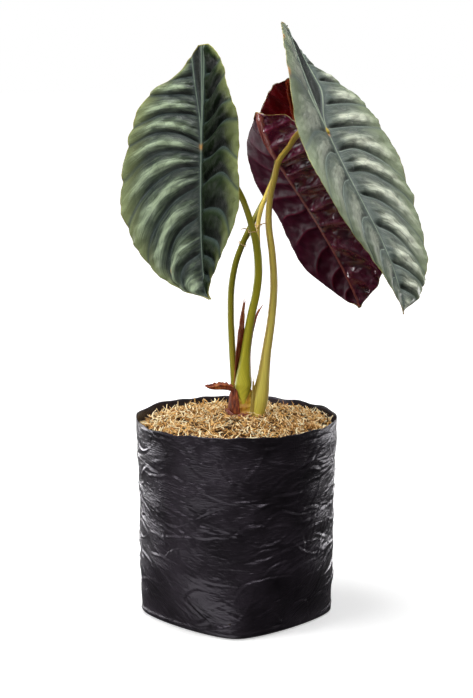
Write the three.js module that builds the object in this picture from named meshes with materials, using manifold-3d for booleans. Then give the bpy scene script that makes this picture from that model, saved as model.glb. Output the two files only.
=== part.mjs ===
// A potted alocasia: four peltate leaves on petioles from a scaly crown,
// in a round grow bag of black film topped with shredded fibre.
// Millimetres, +Z up, front faces -Y, origin at the middle of the bag's base.
import * as THREE from 'three';
import Module from 'manifold-3d';

const wasm = await Module();
wasm.setup();

// Driving dimensions
const GAP = 0.35;
const BAG = { height: 132, rim: 65, waist: 62.5, corner: 63, wall: 1.4, floor: 1.6, exponent: 1.28 };
const SOIL_TOP = 111;
const MULCH = { edge: 126.5, rise: 4.5, strands: 46, strandRadius: 0.9 };
const BLADE = { thick: 0.9, keel: 1.3, relief: 1.7, ruffle: 0.9, scallop: 0.03 };
const CROWN = [4.5, 2];

// Half widths along a blade, from the end of the basal lobes (0) to the tip (1)
const STATIONS = [0, 0.04, 0.1, 0.18, 0.28, 0.4, 0.52, 0.64, 0.76, 0.86, 0.94, 1];
const TIP_WIDTH = 0.03;
// How far side veins sweep towards the tip on their way to the margin, as shares of the length
const SWEEP_AT = [0, 0.2, 0.3, 0.4, 0.5, 0.6, 0.7, 0.85, 1];
const SWEEP = [0, 0.02, 0.04, 0.09, 0.16, 0.19, 0.17, 0.08, 0];

// One entry per leaf. turn = yaw, pitch, roll; bend = tip bend, tip curl, base bend,
// tip sway, base sway, tip twist, base twist; fold = slope at the midrib, slope at the
// margin and what the base adds to each; all angles in radians.
const LEAVES = {
  leaf_left: {
    at: [-21.4, -45, 308.9], turn: [-0.8, -0.09, -0.06], length: 156, width: 54.2, petiole: 0.4,
    bend: [-0.09, 0.16, 0.01, 0.18, -0.06, 0.04, 0.13], tipFold: 0.05,
    foldL: [0.38, 0.32, 0.05, 0.03], foldR: [0.44, 0.08, 0.03, 0.12],
    left: [0.06, 0.17, 0.34, 0.72, 0.87, 0.95, 1.03, 1, 0.86, 0.65, 0.32],
    right: [0.1, 0.32, 0.62, 0.76, 0.94, 0.93, 1, 1.01, 0.84, 0.51, 0.15],
    veins: [0.1, 0.2, 0.28, 0.356, 0.417, 0.48, 0.55, 0.664, 0.786, 0.89],
  },
  leaf_right: {
    at: [57.1, -25, 315.2], turn: [1.03, -0.57, 0.15], length: 215, width: 58.1, petiole: 0.41,
    bend: [-0.33, 0.66, 0.15, -0.15, 0.5, -0.03, -0.3], tipFold: -0.12,
    foldL: [0.35, 0, 0.34, 0.03], foldR: [0.35, -0.02, 0.35, -0.17],
    left: [0.04, 0.25, 0.45, 0.7, 0.89, 0.97, 1.02, 1.06, 0.84, 0.45, 0.2],
    right: [0.08, 0.26, 0.42, 0.7, 0.89, 0.9, 0.91, 0.88, 0.73, 0.55, 0.33],
    veins: [0.1, 0.19, 0.27, 0.34, 0.41, 0.49, 0.56, 0.64, 0.73, 0.82, 0.91],
  },
  leaf_rear: {
    at: [26.5, 45, 293.2], turn: [2.29, -0.61, 0.15], length: 151, width: 50.4, petiole: 0.24,
    bend: [0.25, 0.25, -0.23, -0.34, -0.28, -0.28, 0.09], tipFold: -0.06,
    foldL: [0.46, 0.45, 0.79, 0.53], foldR: [0.22, 0.25, 0.34, 0.43],
    left: [0.05, 0.36, 0.48, 0.61, 0.7, 0.97, 1, 0.95, 0.78, 0.62, 0.33],
    right: [0.03, 0.13, 0.45, 0.79, 0.95, 1.06, 0.95, 0.92, 0.86, 0.55, 0.25],
    veins: [0.08, 0.16, 0.24, 0.31, 0.39, 0.47, 0.56, 0.66, 0.77, 0.88],
  },
  leaf_back: {
    at: [39.7, 76, 313.8], turn: [2.96, -0.5, 0.04], length: 184, width: 31.1, petiole: 0.32,
    bend: [0.22, 0.21, 0.85, -0.49, -0.16, -0.08, 0], tipFold: -0.08,
    foldL: [0.37, 0.16, 0.02, 0.03], foldR: [0.34, 0.2, 0.16, 0.14],
    left: [0.05, 0.32, 0.43, 0.64, 0.79, 0.91, 0.93, 0.96, 0.8, 0.65, 0.28],
    right: [0.03, 0.11, 0.32, 0.52, 0.81, 1.08, 1.05, 0.96, 0.8, 0.59, 0.25],
    veins: [0.08, 0.16, 0.24, 0.31, 0.39, 0.47, 0.56, 0.66, 0.77, 0.88],
  },
};

// Petioles: [x, y, z, radius] from the crown to the blade
const PETIOLES = {
  petiole_left: [
    [4.4, -2.5, 139, 2.2], [4.3, -2, 145, 4.6], [4.3, -1.2, 152, 5.3], [4.7, -1.8, 161, 4.2],
    [5.8, -3, 174, 3.1], [9, -5, 196, 2.65], [12.7, -6, 214, 2.6], [13.9, -7, 228, 2.6],
    [12.6, -8, 244, 2.45], [10.5, -9, 253, 2.15], [6.8, -11, 265.7, 2], [2.6, -15, 276.6, 1.95],
    [-7.1, -27, 293.4, 1.9], [-17.5, -41, 306.4, 1.9], [-21.4, -45, 308.9, 1.9],
  ],
  petiole_right: [
    [11, 0.5, 124, 4.6], [12.6, 0, 133, 5.6], [14.3, 0, 141, 5.8], [16, 0, 148.5, 5.1],
    [17.5, -0.5, 159, 3.9], [19.2, -1, 173.5, 3.1], [22.3, -1, 195, 2.65], [23.9, -1, 216.7, 2.45],
    [22.7, -1, 238, 2.3], [20.6, -1, 254, 2.2], [20.5, -1, 264.6, 2.1], [21.6, -1, 275.2, 2],
    [24.1, -2, 285.8, 1.9], [26.8, -3, 296.8, 1.85], [33.2, -5, 306, 1.8], [38.2, -8, 313.9, 1.8],
    [47.1, -15, 319.1, 1.8], [54.3, -22, 318, 1.9], [57.1, -25, 315.2, 1.9],
  ],
  petiole_rear: [
    [0.6, 4, 139, 3.2], [-0.8, 3, 148, 2.8], [-1.6, 2, 156.6, 2.35], [-3.2, 4, 183.5, 2.2],
    [-3.7, 5, 199.5, 2.15], [-3.2, 6, 215.6, 2.1], [-0.5, 7, 230.5, 2], [3.7, 8, 242.2, 1.9],
    [8, 10, 251.6, 1.8], [13.6, 14, 262.2, 1.75], [20.2, 25, 273.6, 1.7], [23.1, 33, 280, 1.7],
    [26, 42, 289.5, 1.7], [26.5, 45, 293.2, 1.7],
  ],
  petiole_back: [
    [6.5, 9, 136, 3.2], [6, 9.2, 150, 2.7], [6.2, 8.6, 172, 2.1], [9.2, 7, 195, 1.85],
    [12.8, 5.5, 214, 1.7], [14.1, 4, 230, 1.6], [13.7, 2.5, 244, 1.55], [13.7, 3, 255.7, 1.5],
    [15.9, 5, 266.1, 1.5], [19, 8, 274.2, 1.45], [22.2, 9, 281.5, 1.4], [24.9, 9.5, 286.7, 1.4],
    [27.5, 11, 296.1, 1.4], [34.2, 16, 305.3, 1.4], [40.5, 22, 312.3, 1.4], [47.5, 32, 319.5, 1.4],
    [49.5, 44, 323.5, 1.4], [48, 59, 323.5, 1.4], [43.5, 70, 319.8, 1.5], [39.7, 76, 313.8, 1.5],
  ],
};

const RHIZOME = [
  [5, 2, 103, 5.5], [5, 2, 112, 8.2], [5, 2, 121, 9.4], [4.6, 2, 129, 9.2], [4.4, 2, 136, 9.6],
  [4.2, 2, 143, 8], [4.2, 2, 149, 5.2],
];
const ROOTS = 5;

// Small helpers
const clamp = (x, lo = 0, hi = 1) => Math.min(hi, Math.max(lo, x));
const smooth = (x) => clamp(x) ** 2 * (3 - 2 * clamp(x));

function random(seed) {
  let state = seed >>> 0;
  return () => {
    state = (state + 0x6d2b79f5) >>> 0;
    let t = Math.imul(state ^ (state >>> 15), 1 | state);
    t = (t + Math.imul(t ^ (t >>> 7), 61 | t)) ^ t;
    return ((t ^ (t >>> 14)) >>> 0) / 4294967296;
  };
}

// Cubic through points, with the slope at each from its two neighbours
function curve(xs, ys) {
  const n = xs.length;
  const slope = xs.map((_, i) => {
    const a = Math.max(i - 1, 0);
    const b = Math.min(i + 1, n - 1);
    return (ys[b] - ys[a]) / (xs[b] - xs[a]);
  });
  return (x) => {
    let i = 0;
    while (i < n - 2 && x > xs[i + 1]) i += 1;
    const h = xs[i + 1] - xs[i];
    const t = clamp((x - xs[i]) / h);
    const a = (1 + 2 * t) * (1 - t) ** 2;
    const b = t * (1 - t) ** 2;
    return a * ys[i] + b * h * slope[i] + (1 - a) * ys[i + 1] - t * t * (1 - t) * h * slope[i + 1];
  };
}
const sweep = curve(SWEEP_AT, SWEEP);

function solid(positions, triangles) {
  const mesh = new wasm.Mesh({
    numProp: 3,
    vertProperties: Float32Array.from(positions.flat()),
    triVerts: Uint32Array.from(triangles.flat()),
  });
  mesh.merge();
  return new wasm.Manifold(mesh);
}

const volume = (s) => (s.volume ? s.volume() : s.getProperties().volume);

// The largest piece of a cut body
function largest(body) {
  const parts = body.decompose();
  return parts.reduce((best, part) => (volume(part) > volume(best) ? part : best));
}

// A closed slab from a grid of points. thick(i, j) gives its depth on either side, the second on
// the side that across x along points to: on a leaf, its underside
function slab(points, thick) {
  const rows = points.length;
  const columns = points[0].length;
  const at = (i, j) => points[clamp(i, 0, rows - 1)][clamp(j, 0, columns - 1)];
  const front = [];
  const back = [];
  for (let i = 0; i < rows; i += 1) {
    for (let j = 0; j < columns; j += 1) {
      const along = at(i + 1, j).clone().sub(at(i - 1, j));
      const across = at(i, j + 1).clone().sub(at(i, j - 1));
      const normal = across.cross(along).normalize();
      const [behind, ahead] = thick(i, j);
      front.push(at(i, j).clone().addScaledVector(normal, ahead).toArray());
      back.push(at(i, j).clone().addScaledVector(normal, -behind).toArray());
    }
  }
  const count = rows * columns;
  const triangles = [];
  const id = (i, j) => i * columns + j;
  for (let i = 0; i < rows - 1; i += 1) {
    for (let j = 0; j < columns - 1; j += 1) {
      const [a, b, c, d] = [id(i, j), id(i, j + 1), id(i + 1, j + 1), id(i + 1, j)];
      const left = j < (columns - 1) / 2;
      const pairs = left ? [[a, b, c], [a, c, d]] : [[a, b, d], [b, c, d]];
      for (const [p, q, r] of pairs) {
        triangles.push([p, q, r], [p + count, r + count, q + count]);
      }
    }
  }
  const wall = (p, q) => triangles.push([p, q, q + count], [p, q + count, p + count]);
  for (let j = 0; j < columns - 1; j += 1) {
    wall(id(0, j + 1), id(0, j));
    wall(id(rows - 1, j), id(rows - 1, j + 1));
  }
  for (let i = 0; i < rows - 1; i += 1) {
    wall(id(i, 0), id(i + 1, 0));
    wall(id(i + 1, columns - 1), id(i, columns - 1));
  }
  return solid([...front, ...back], triangles);
}

// A tube along [x, y, z, radius] stations, grown by a clearance
function tube(stations, sides, steps, grow = 0) {
  const place = stations.map(([x, y, z]) => new THREE.Vector3(x, y, z));
  const path = new THREE.CatmullRomCurve3(place, false, 'centripetal');
  const shares = stations.map((_, i) => i / (stations.length - 1));
  const radius = curve(shares, stations.map((p) => p[3]));
  const positions = [];
  const side = new THREE.Vector3(1, 0, 0);
  for (let i = 0; i <= steps; i += 1) {
    const t = i / steps;
    const centre = path.getPoint(t);
    const forward = path.getTangent(t);
    side.addScaledVector(forward, -side.dot(forward)).normalize();
    const up = forward.clone().cross(side);
    if (i === 0) centre.addScaledVector(forward, -grow);
    if (i === steps) centre.addScaledVector(forward, grow);
    for (let k = 0; k < sides; k += 1) {
      const a = (2 * Math.PI * k) / sides;
      const r = radius(t) + grow;
      const p = centre.clone().addScaledVector(side, r * Math.cos(a));
      positions.push(p.addScaledVector(up, r * Math.sin(a)).toArray());
    }
  }
  const triangles = [];
  for (let i = 0; i < steps; i += 1) {
    for (let k = 0; k < sides; k += 1) {
      const a = i * sides + k;
      const b = i * sides + ((k + 1) % sides);
      triangles.push([a, b, b + sides], [a, b + sides, a + sides]);
    }
  }
  const last = steps * sides;
  for (let k = 1; k < sides - 1; k += 1) {
    triangles.push([0, k + 1, k], [last, last + k, last + k + 1]);
  }
  return solid(positions, triangles);
}

// Leaves: a point of the blade's middle surface. r runs over the width from -1 to 1 and
// s along the length; rows of equal s follow the side veins.
function bladeFrame(leaf) {
  const ahead = leaf.length * (1 - leaf.petiole);
  const behind = leaf.length * leaf.petiole;
  const [tipBend, tipCurl, baseBend, tipSway, baseSway, tipTwist, baseTwist] = leaf.bend;
  const steps = 60;
  const dv = leaf.length / steps;
  const frames = [];
  const point = new THREE.Vector3();
  for (let i = 0; i <= steps; i += 1) {
    const v = -behind + i * dv;
    const tip = clamp(v / ahead);
    const base = clamp(-v / behind);
    const a = tipBend * tip + tipCurl * tip ** 3 - baseBend * base;
    const b = tipSway * tip - baseSway * base;
    const twist = tipTwist * tip + baseTwist * base;
    const t = new THREE.Vector3(
      Math.sin(b) * Math.cos(a), Math.sin(a), -Math.cos(b) * Math.cos(a),
    );
    const across = new THREE.Vector3(Math.cos(b), 0, Math.sin(b));
    const normal = t.clone().cross(across).normalize();
    const x = across.clone().multiplyScalar(Math.cos(twist)).addScaledVector(normal, Math.sin(twist));
    const z = normal.clone().multiplyScalar(Math.cos(twist)).addScaledVector(across, -Math.sin(twist));
    frames.push({ point: point.clone(), x, z });
    point.addScaledVector(t, dv);
  }
  const zero = behind / dv;
  const i0 = Math.floor(zero);
  const origin = frames[i0].point.clone().lerp(frames[i0 + 1].point, zero - i0);
  const [yaw, pitch, roll] = leaf.turn;
  const turn = new THREE.Euler(pitch, roll, yaw, 'ZXY');
  return (s, x, z) => {
    const f = clamp(s * steps, 0, steps - 0.0001);
    const i = Math.floor(f);
    const [p, q] = [frames[i], frames[i + 1]];
    const at = p.point.clone().lerp(q.point, f - i).sub(origin);
    at.addScaledVector(p.x.clone().lerp(q.x, f - i), x);
    at.addScaledVector(p.z.clone().lerp(q.z, f - i), z);
    return at.applyEuler(turn).add(new THREE.Vector3(...leaf.at));
  };
}

// How many side veins lie between the end of the lobes and s
function veinPhase(leaf, s) {
  const marks = [0, ...leaf.veins, 1];
  let i = 0;
  while (i < marks.length - 2 && s > marks[i + 1]) i += 1;
  return i + (s - marks[i]) / (marks[i + 1] - marks[i]);
}

function blade(leaf) {
  const place = bladeFrame(leaf);
  const halves = [leaf.left, leaf.right].map((w) => curve(STATIONS, [...w, TIP_WIDTH]));
  return (r, s) => {
    const rho = Math.abs(r);
    const left = r < 0;
    const row = clamp(s + sweep(s) * rho ** 1.5);
    const hump = Math.abs(Math.sin(Math.PI * veinPhase(leaf, s))) ** 0.8;
    const scallop = 1 + BLADE.scallop * (hump - 0.6) * rho ** 2;
    const width = halves[left ? 0 : 1](row) * leaf.width * scallop;
    const base = clamp((leaf.petiole - row) / leaf.petiole);
    const tip = clamp((row - leaf.petiole) / (1 - leaf.petiole));
    const fold = left ? leaf.foldL : leaf.foldR;
    const inner = fold[0] + fold[2] * base + leaf.tipFold * tip;
    const outer = fold[1] + fold[3] * base + leaf.tipFold * tip;
    const channel = (base * leaf.petiole * leaf.length * Math.tan(0.157)) / Math.max(width, 1e-6);
    let x = 0;
    let z = 0;
    const parts = 12;
    for (let k = 0; k < parts; k += 1) {
      const t = (rho * (k + 0.5)) / parts;
      const open = smooth((t - channel * 0.75) / Math.max(channel * 0.6, 0.08));
      const slope = (inner + (outer - inner) * t * t) * open;
      x += Math.cos(slope) / parts;
      z += Math.sin(slope) / parts;
    }
    const rise = smooth((rho - channel) / 0.14) * (1 - 0.75 * smooth((rho - 0.6) / 0.4));
    const relief = BLADE.relief * (hump - 0.5) * rise * smooth(width / 14);
    const ruffle = BLADE.ruffle * rho ** 4 * Math.sin(2 * Math.PI * (3.1 * row + (left ? 0.2 : 0.7)));
    return place(row, x * rho * width * (left ? -1 : 1), z * rho * width + relief + ruffle);
  };
}

function leafBody(leaf, grow = 0) {
  const at = blade(leaf);
  const columns = [1, 0.88, 0.72, 0.55, 0.38, 0.22, 0.08];
  const across = [...columns.map((r) => -r), 0, ...columns.slice().reverse()];
  const marks = [0, ...leaf.veins, 1];
  const along = marks.slice(0, -1).flatMap((s, i) => [s, (s + marks[i + 1]) / 2]).concat(1);
  const points = along.map((s) => across.map((r) => at(r, s)));
  const middle = across.indexOf(0);
  return slab(points, (i, j) => {
    const taper = 1 - 0.85 * Math.abs(along[i] - leaf.petiole) / 0.7;
    const keel = j === middle ? BLADE.keel * clamp(taper) : 0;
    return [BLADE.thick / 2 + grow, BLADE.thick / 2 + keel + grow];
  });
}

// Bag
function bagRadius(angle, z) {
  const c = Math.abs(Math.cos(angle));
  const s = Math.abs(Math.sin(angle));
  const exponent = BAG.exponent + (2 - BAG.exponent) * smooth((z - 4) / 40);
  const low = smooth((z - 2) / 45);
  const size = BAG.corner + (BAG.waist - BAG.corner) * low;
  const flare = (BAG.rim - BAG.waist) * smooth((z - 70) / 62);
  return (size + flare) / (c ** exponent + s ** exponent) ** (1 / exponent);
}

function bagCreases(angle, z) {
  const band = Math.sin(3 * angle + z * 0.045) * Math.sin(z * 0.31 + 1.7 * Math.sin(2 * angle));
  const slant = Math.sin(7 * angle - z * 0.09 + 0.8) * Math.sin(z * 0.13 + angle);
  return 0.32 * band + 0.25 * slant;
}

const AROUND = 48;
const round = Array.from({ length: AROUND }, (_, k) => (2 * Math.PI * (k + 0.5)) / AROUND);

// A closed body of rings, each [z, radius by angle], fanned at both ends
function rings(list) {
  const positions = [];
  for (const [z, radius] of list) {
    for (const a of round) {
      const r = radius(a);
      positions.push([r * Math.cos(a), r * Math.sin(a), typeof z === 'function' ? z(a, r) : z]);
    }
  }
  const triangles = [];
  for (let i = 0; i < list.length - 1; i += 1) {
    for (let k = 0; k < AROUND; k += 1) {
      const a = i * AROUND + k;
      const b = i * AROUND + ((k + 1) % AROUND);
      triangles.push([a, b, b + AROUND], [a, b + AROUND, a + AROUND]);
    }
  }
  const last = (list.length - 1) * AROUND;
  for (let k = 1; k < AROUND - 1; k += 1) {
    triangles.push([0, k + 1, k], [last, last + k, last + k + 1]);
  }
  return solid(positions, triangles);
}

const inside = (clearance) => (z) => (a) => bagRadius(a, z) - BAG.wall - clearance;

function bag() {
  const levels = [2.2, 8, 16, 25, 35, 47, 59, 71, 83, 95, 107, 119, 128, BAG.height];
  const outer = levels.map((z) => {
    const fade = smooth((BAG.height + 2 - z) / 12) * smooth(z / 12);
    return [z, (a) => bagRadius(a, z) + bagCreases(a, z) * fade];
  });
  const foot = [[0, (a) => bagRadius(a, 0) - 2.6], [0.7, (a) => bagRadius(a, 0) - 0.9]];
  const cavity = [BAG.floor, 12, 24, 38, 60, 85, 108, BAG.height + 0.4].map((z) => [z, inside(0)(z)]);
  return rings([...foot, ...outer]).subtract(rings(cavity));
}

function pottingMix(holes) {
  const levels = [BAG.floor + GAP, 12, 24, 38, 60, 85, SOIL_TOP];
  return largest(rings(levels.map((z) => [z, inside(GAP)(z)])).subtract(holes));
}

// Fibre mulch: a domed bed with strands sunk into its top
function mulchHeight(x, y) {
  const d = Math.hypot(x, y) / 63;
  const bumps = Math.sin(x * 0.21 + 1.3 * Math.sin(y * 0.13)) * Math.cos(y * 0.24 + x * 0.05);
  return MULCH.edge + MULCH.rise * (1 - d * d) + 0.55 * bumps;
}

function mulch(holes) {
  const wall = inside(GAP);
  const level = SOIL_TOP + GAP;
  const list = [[level, wall(level)]];
  for (const share of [1, 0.86, 0.7, 0.53, 0.36, 0.18]) {
    list.push([
      (a, r) => mulchHeight(r * Math.cos(a), r * Math.sin(a)) - (share === 1 ? 0.8 : 0),
      (a) => wall(126)(a) * share,
    ]);
  }
  const next = random(41);
  let bed = rings(list);
  const strands = [];
  for (let i = 0; i < MULCH.strands; i += 1) {
    const reach = 57 * Math.sqrt((i + 0.5) / MULCH.strands);
    const where = i * 2.39996 + next() * 0.5;
    const heading = next() * 2 * Math.PI;
    const half = 6 + 8 * next();
    const bow = (next() - 0.5) * 0.9;
    const lift = 0.5 + 0.7 * next();
    const stations = [-1, 0, 1].map((t) => {
      const turned = heading + bow * t;
      let x = reach * Math.cos(where) + t * half * Math.cos(turned);
      let y = reach * Math.sin(where) + t * half * Math.sin(turned);
      const shrink = Math.min(1, 60.5 / Math.hypot(x, y));
      x *= shrink;
      y *= shrink;
      const z = mulchHeight(x, y) + (t === 0 ? lift : -0.5);
      return [x, y, z, MULCH.strandRadius * (1 - 0.3 * t * t)];
    });
    strands.push(tube(stations, 3, 2));
  }
  bed = bed.add(wasm.Manifold.union(strands));
  return largest(bed.subtract(holes));
}

// Crown
function rootPaths() {
  return Array.from({ length: ROOTS }, (_, i) => {
    const a = (2 * Math.PI * i) / ROOTS + 0.3;
    const reach = 30 + 9 * ((i * 5) % 7) / 6;
    const depth = 66 + 24 * ((i * 3) % 7) / 6;
    const out = (share, z, radius) => [
      CROWN[0] + reach * share * Math.cos(a), CROWN[1] + reach * share * Math.sin(a), z, radius,
    ];
    return [out(0.05, 112, 2.1), out(0.4, 105, 1.9), out(0.75, depth + 16, 1.5), out(1, depth, 1)];
  });
}

function rhizome(grow = 0) {
  const stem = tube(RHIZOME, 14, 9, grow);
  return wasm.Manifold.union([stem, ...rootPaths().map((p) => tube(p, 5, 4, grow))]);
}

// Scale leaves round the crown: [start angle, end angle, bottom, height, flare]
const SCALES = [
  [2.5, 4.5, 132.4, 12, 1.6], [3.9, 5.7, 131.4, 8.5, 2.2], [5.2, 6.6, 131, 6.5, 1.4],
];

function scale([start, end, low, tall, flare], index, grow = 0) {
  const [from, to] = [start - grow / 8, end + grow / 8];
  const [bottom, height] = [low - grow, tall + 2.5 * grow];
  const points = [];
  for (let i = 0; i <= 3; i += 1) {
    const v = i / 3;
    points.push(Array.from({ length: 6 }, (_, j) => {
      const u = j / 5;
      const a = from + (to - from) * (u + (0.5 - u) * 0.75 * v * v);
      const radius = 9 + flare * v * v + 0.35 * index;
      const z = bottom + height * v * (1 - 0.25 * Math.abs(2 * u - 1));
      return new THREE.Vector3(CROWN[0] + radius * Math.cos(a), CROWN[1] + radius * Math.sin(a), z);
    }));
  }
  return slab(points, () => [0.5 + grow, 0.5 + grow]);
}

// The papery sheath that half wraps the back of the front petiole, with two pointed tips
function cataphyll() {
  const stations = PETIOLES.petiole_left;
  const axis = [0, 1].map((k) => curve(stations.map((p) => p[2]), stations.map((p) => p[k])));
  const points = [];
  const rows = 8;
  for (let i = 0; i <= rows; i += 1) {
    const v = i / rows;
    points.push(Array.from({ length: 9 }, (_, j) => {
      const u = j / 4 - 1;
      const peak = Math.max(1 - Math.abs(u + 0.7) * 1.05, 0.92 - Math.abs(u - 0.72) * 1.5, 0.36);
      const z = 149 + 59 * peak * v;
      const angle = Math.PI * (0.5 - 0.56 * u);
      const radius = 5.7 + 1.3 * v * v * peak;
      const [x, y] = [Math.cos(angle), Math.sin(angle)];
      return new THREE.Vector3(axis[0](z) + radius * x, axis[1](z) + radius * y, z);
    }));
  }
  return slab(points, () => [0.4, 0.4]);
}

// The dry end of an old sheath, sticking out to the left
function drySheath() {
  const points = [];
  for (let i = 0; i <= 6; i += 1) {
    const v = i / 6;
    points.push([-1, -0.4, 0.4, 1].map((u) => new THREE.Vector3(
      -2.2 - 18.2 * v,
      -4.2 - 1.2 * Math.sin(3 * v) + 0.9 * u * u,
      150.4 + 2.6 * v + 0.8 * Math.sin(5 * v) + u * 2.9 * (1 - v ** 4) * (0.7 + 0.3 * v),
    )));
  }
  return slab(points, () => [0.4, 0.4]);
}

// Raffia: three loops round petioles, joined by a strand
function tie() {
  const loop = (x, y, z, radius, lean) => {
    const ring = new THREE.TorusGeometry(radius, 0.45, 4, 10);
    ring.rotateX(lean[0]).rotateY(lean[1]).translate(x, y, z);
    const at = ring.getAttribute('position');
    const index = Array.from(ring.index.array);
    const positions = Array.from({ length: at.count }, (_, i) => [at.getX(i), at.getY(i), at.getZ(i)]);
    return solid(positions, index.flatMap((_, i) => (i % 3 ? [] : [index.slice(i, i + 3)])));
  };
  const strand = (path) => tube(path.map((p) => [...p, 0.45]), 3, 3);
  return wasm.Manifold.union([
    loop(10.5, -9, 253, 3, [0.15, -0.16]),
    loop(13.7, 3, 255.6, 2.35, [0.1, 0.1]),
    loop(3.9, 8, 242.6, 2.75, [0.2, 0.42]),
    strand([[11.8, -6, 253.4], [13, -3, 254.6], [13.4, 0.8, 255.6]]),
    strand([[5, 10.4, 243], [9.5, 9.4, 249], [13.2, 5.4, 255.6]]),
    strand([[8.2, -11, 253.5], [5.4, -12, 255], [2.6, -12, 254.6]]),
    strand([[15, 1, 255.9], [17.4, 0.4, 256.8], [18.9, 3.5, 256.6]]),
  ]);
}

// Materials
const look = (color, roughness, metalness = 0) => ({ color, roughness, metalness });
const LOOKS = {
  film: look(0x1b1b20, 0.42), peat: look(0x2e221a, 0.95), fibre: look(0xb59b72, 0.9),
  upper: look(0x5d7357, 0.45), silver: look(0x8c9c84, 0.45), plum: look(0x3a1622, 0.35),
  garnet: look(0x4c0f18, 0.4), green: look(0x7a8a2e, 0.45), olive: look(0x8a7436, 0.45),
  bark: look(0x6a4630, 0.85), husk: look(0x7a4f3a, 0.8), straw: look(0xc09a55, 0.8),
};

const root = new THREE.Group();
root.name = 'potted_alocasia';

function add(name, body, finish) {
  const mesh = body.getMesh();
  const geometry = new THREE.BufferGeometry();
  geometry.setAttribute('position', new THREE.BufferAttribute(mesh.vertProperties, 3));
  geometry.setIndex(new THREE.BufferAttribute(mesh.triVerts, 1));
  geometry.computeVertexNormals();
  const node = new THREE.Mesh(geometry, new THREE.MeshStandardMaterial(LOOKS[finish]));
  node.material.name = finish;
  node.name = name;
  root.add(node);
}

// Assembly: whoever stands in front stays whole, the others are cut clear of it
const bodies = {};
for (const [name, leaf] of Object.entries(LEAVES)) bodies[name] = leafBody(leaf);
const fatLeaves = Object.values(LEAVES).map((leaf) => leafBody(leaf, GAP));

const fat = {};
const order = ['petiole_left', 'petiole_right', 'petiole_rear', 'petiole_back'];
for (const name of order) {
  const stations = PETIOLES[name];
  const steps = Math.round(stations.length * 1.3);
  fat[name] = tube(stations, 10, steps, GAP);
  const others = order.slice(0, order.indexOf(name)).map((key) => fat[key]);
  const clear = wasm.Manifold.union([...others, ...fatLeaves]);
  bodies[name] = largest(tube(stations, 10, steps).subtract(clear));
}
const stems = wasm.Manifold.union(order.map((name) => fat[name]));
const scales = wasm.Manifold.union(SCALES.map((entry, i) => scale(entry, i)));
bodies.rhizome = largest(rhizome().add(scales).subtract(stems));
const fatRhizome = rhizome(GAP);
const fatScales = wasm.Manifold.union(SCALES.map((entry, i) => scale(entry, i, GAP)));
bodies.cataphyll = largest(cataphyll().subtract(stems).subtract(fatRhizome));
bodies.dry_sheath = largest(drySheath().subtract(stems).subtract(fatRhizome));
bodies.tie = largest(tie().subtract(stems));
bodies.grow_bag = bag();
bodies.potting_mix = pottingMix(fatRhizome.add(stems));
bodies.mulch = mulch(fatRhizome.add(stems).add(fatScales));

const FINISH = {
  grow_bag: 'film', potting_mix: 'peat', mulch: 'fibre', rhizome: 'bark',
  petiole_left: 'green', petiole_right: 'olive', petiole_rear: 'green', petiole_back: 'olive',
  leaf_left: 'upper', leaf_right: 'silver', leaf_rear: 'plum', leaf_back: 'garnet',
  cataphyll: 'husk', dry_sheath: 'straw', tie: 'straw',
};
for (const [name, finish] of Object.entries(FINISH)) add(name, bodies[name], finish);

export default root;
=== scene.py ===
"""A potted alocasia, built around the packed frame: four bullate leaves on petioles from a scaly
crown, in a black film grow bag topped with shredded fibre. Sizes in this file are millimetres
until a mesh is written, and +Z is up, with the front facing -Y."""

import math

import bpy
import numpy as np
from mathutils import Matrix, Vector


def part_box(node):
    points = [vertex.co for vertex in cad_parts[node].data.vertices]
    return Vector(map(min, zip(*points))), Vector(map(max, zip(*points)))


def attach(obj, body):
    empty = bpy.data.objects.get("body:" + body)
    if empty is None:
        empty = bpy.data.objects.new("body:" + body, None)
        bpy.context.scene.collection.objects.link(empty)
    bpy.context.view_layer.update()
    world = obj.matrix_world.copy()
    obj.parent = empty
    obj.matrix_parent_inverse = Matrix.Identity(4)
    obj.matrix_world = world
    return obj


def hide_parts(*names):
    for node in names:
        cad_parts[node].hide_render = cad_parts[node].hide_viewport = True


bl_info = {
    "name": "Potted alocasia",
    "version": (1, 0, 0),
    "blender": (4, 5, 0),
    "location": "View3D > Sidebar > Alocasia",
    "description": "Builds the leaves, petioles, crown, mulch and grow bag of a potted alocasia",
    "category": "Add Mesh",
}

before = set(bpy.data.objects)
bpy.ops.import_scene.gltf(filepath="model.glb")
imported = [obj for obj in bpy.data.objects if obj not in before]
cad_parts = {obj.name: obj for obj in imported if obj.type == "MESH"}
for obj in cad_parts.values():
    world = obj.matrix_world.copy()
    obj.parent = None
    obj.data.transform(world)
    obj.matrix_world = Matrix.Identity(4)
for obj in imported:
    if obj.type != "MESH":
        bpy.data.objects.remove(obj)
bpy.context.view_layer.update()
BAG_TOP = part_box("grow_bag")[1].z * 1000

# The forms below repeat the driving values of the part's source, in mm. MEAN_RADIUS is the bag's,
# to measure lengths round it, and SEAM_END the direction in which the seam of its foot fades out.

RIM_RADIUS = 65.0
WAIST_RADIUS = 62.9
CORNER_RADIUS = 63.0
FOOT_EXPONENT = 1.28
MULCH_EDGE = 126.5
MULCH_RISE = 4.5
SOIL_TOP = 111.0
CROWN = (4.5, 2.0)
CROWN_RADIUS = 9.0
ROOTS = 5
MEAN_RADIUS = 63.0
SEAM_END = 0.6

# STATIONS are the shares of a blade's length where its width is given. RUFFLE is the wave of its
# margin in mm, SCALLOP how far the cushions push it out, as a share, LOW_FOLDS the height in mm of
# the slow folds on them and CHANNEL_LINES that of the ridges between the midrib and basal veins.
STATIONS = [0, 0.04, 0.1, 0.18, 0.28, 0.4, 0.52, 0.64, 0.76, 0.86, 0.94, 1]
TIP_WIDTH = 0.03
BASAL_VEIN_ANGLE = 0.157
RUFFLE = 0.9
SCALLOP = 0.03
LOW_FOLDS = 0.24
CHANNEL_LINES = 0.35

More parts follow.
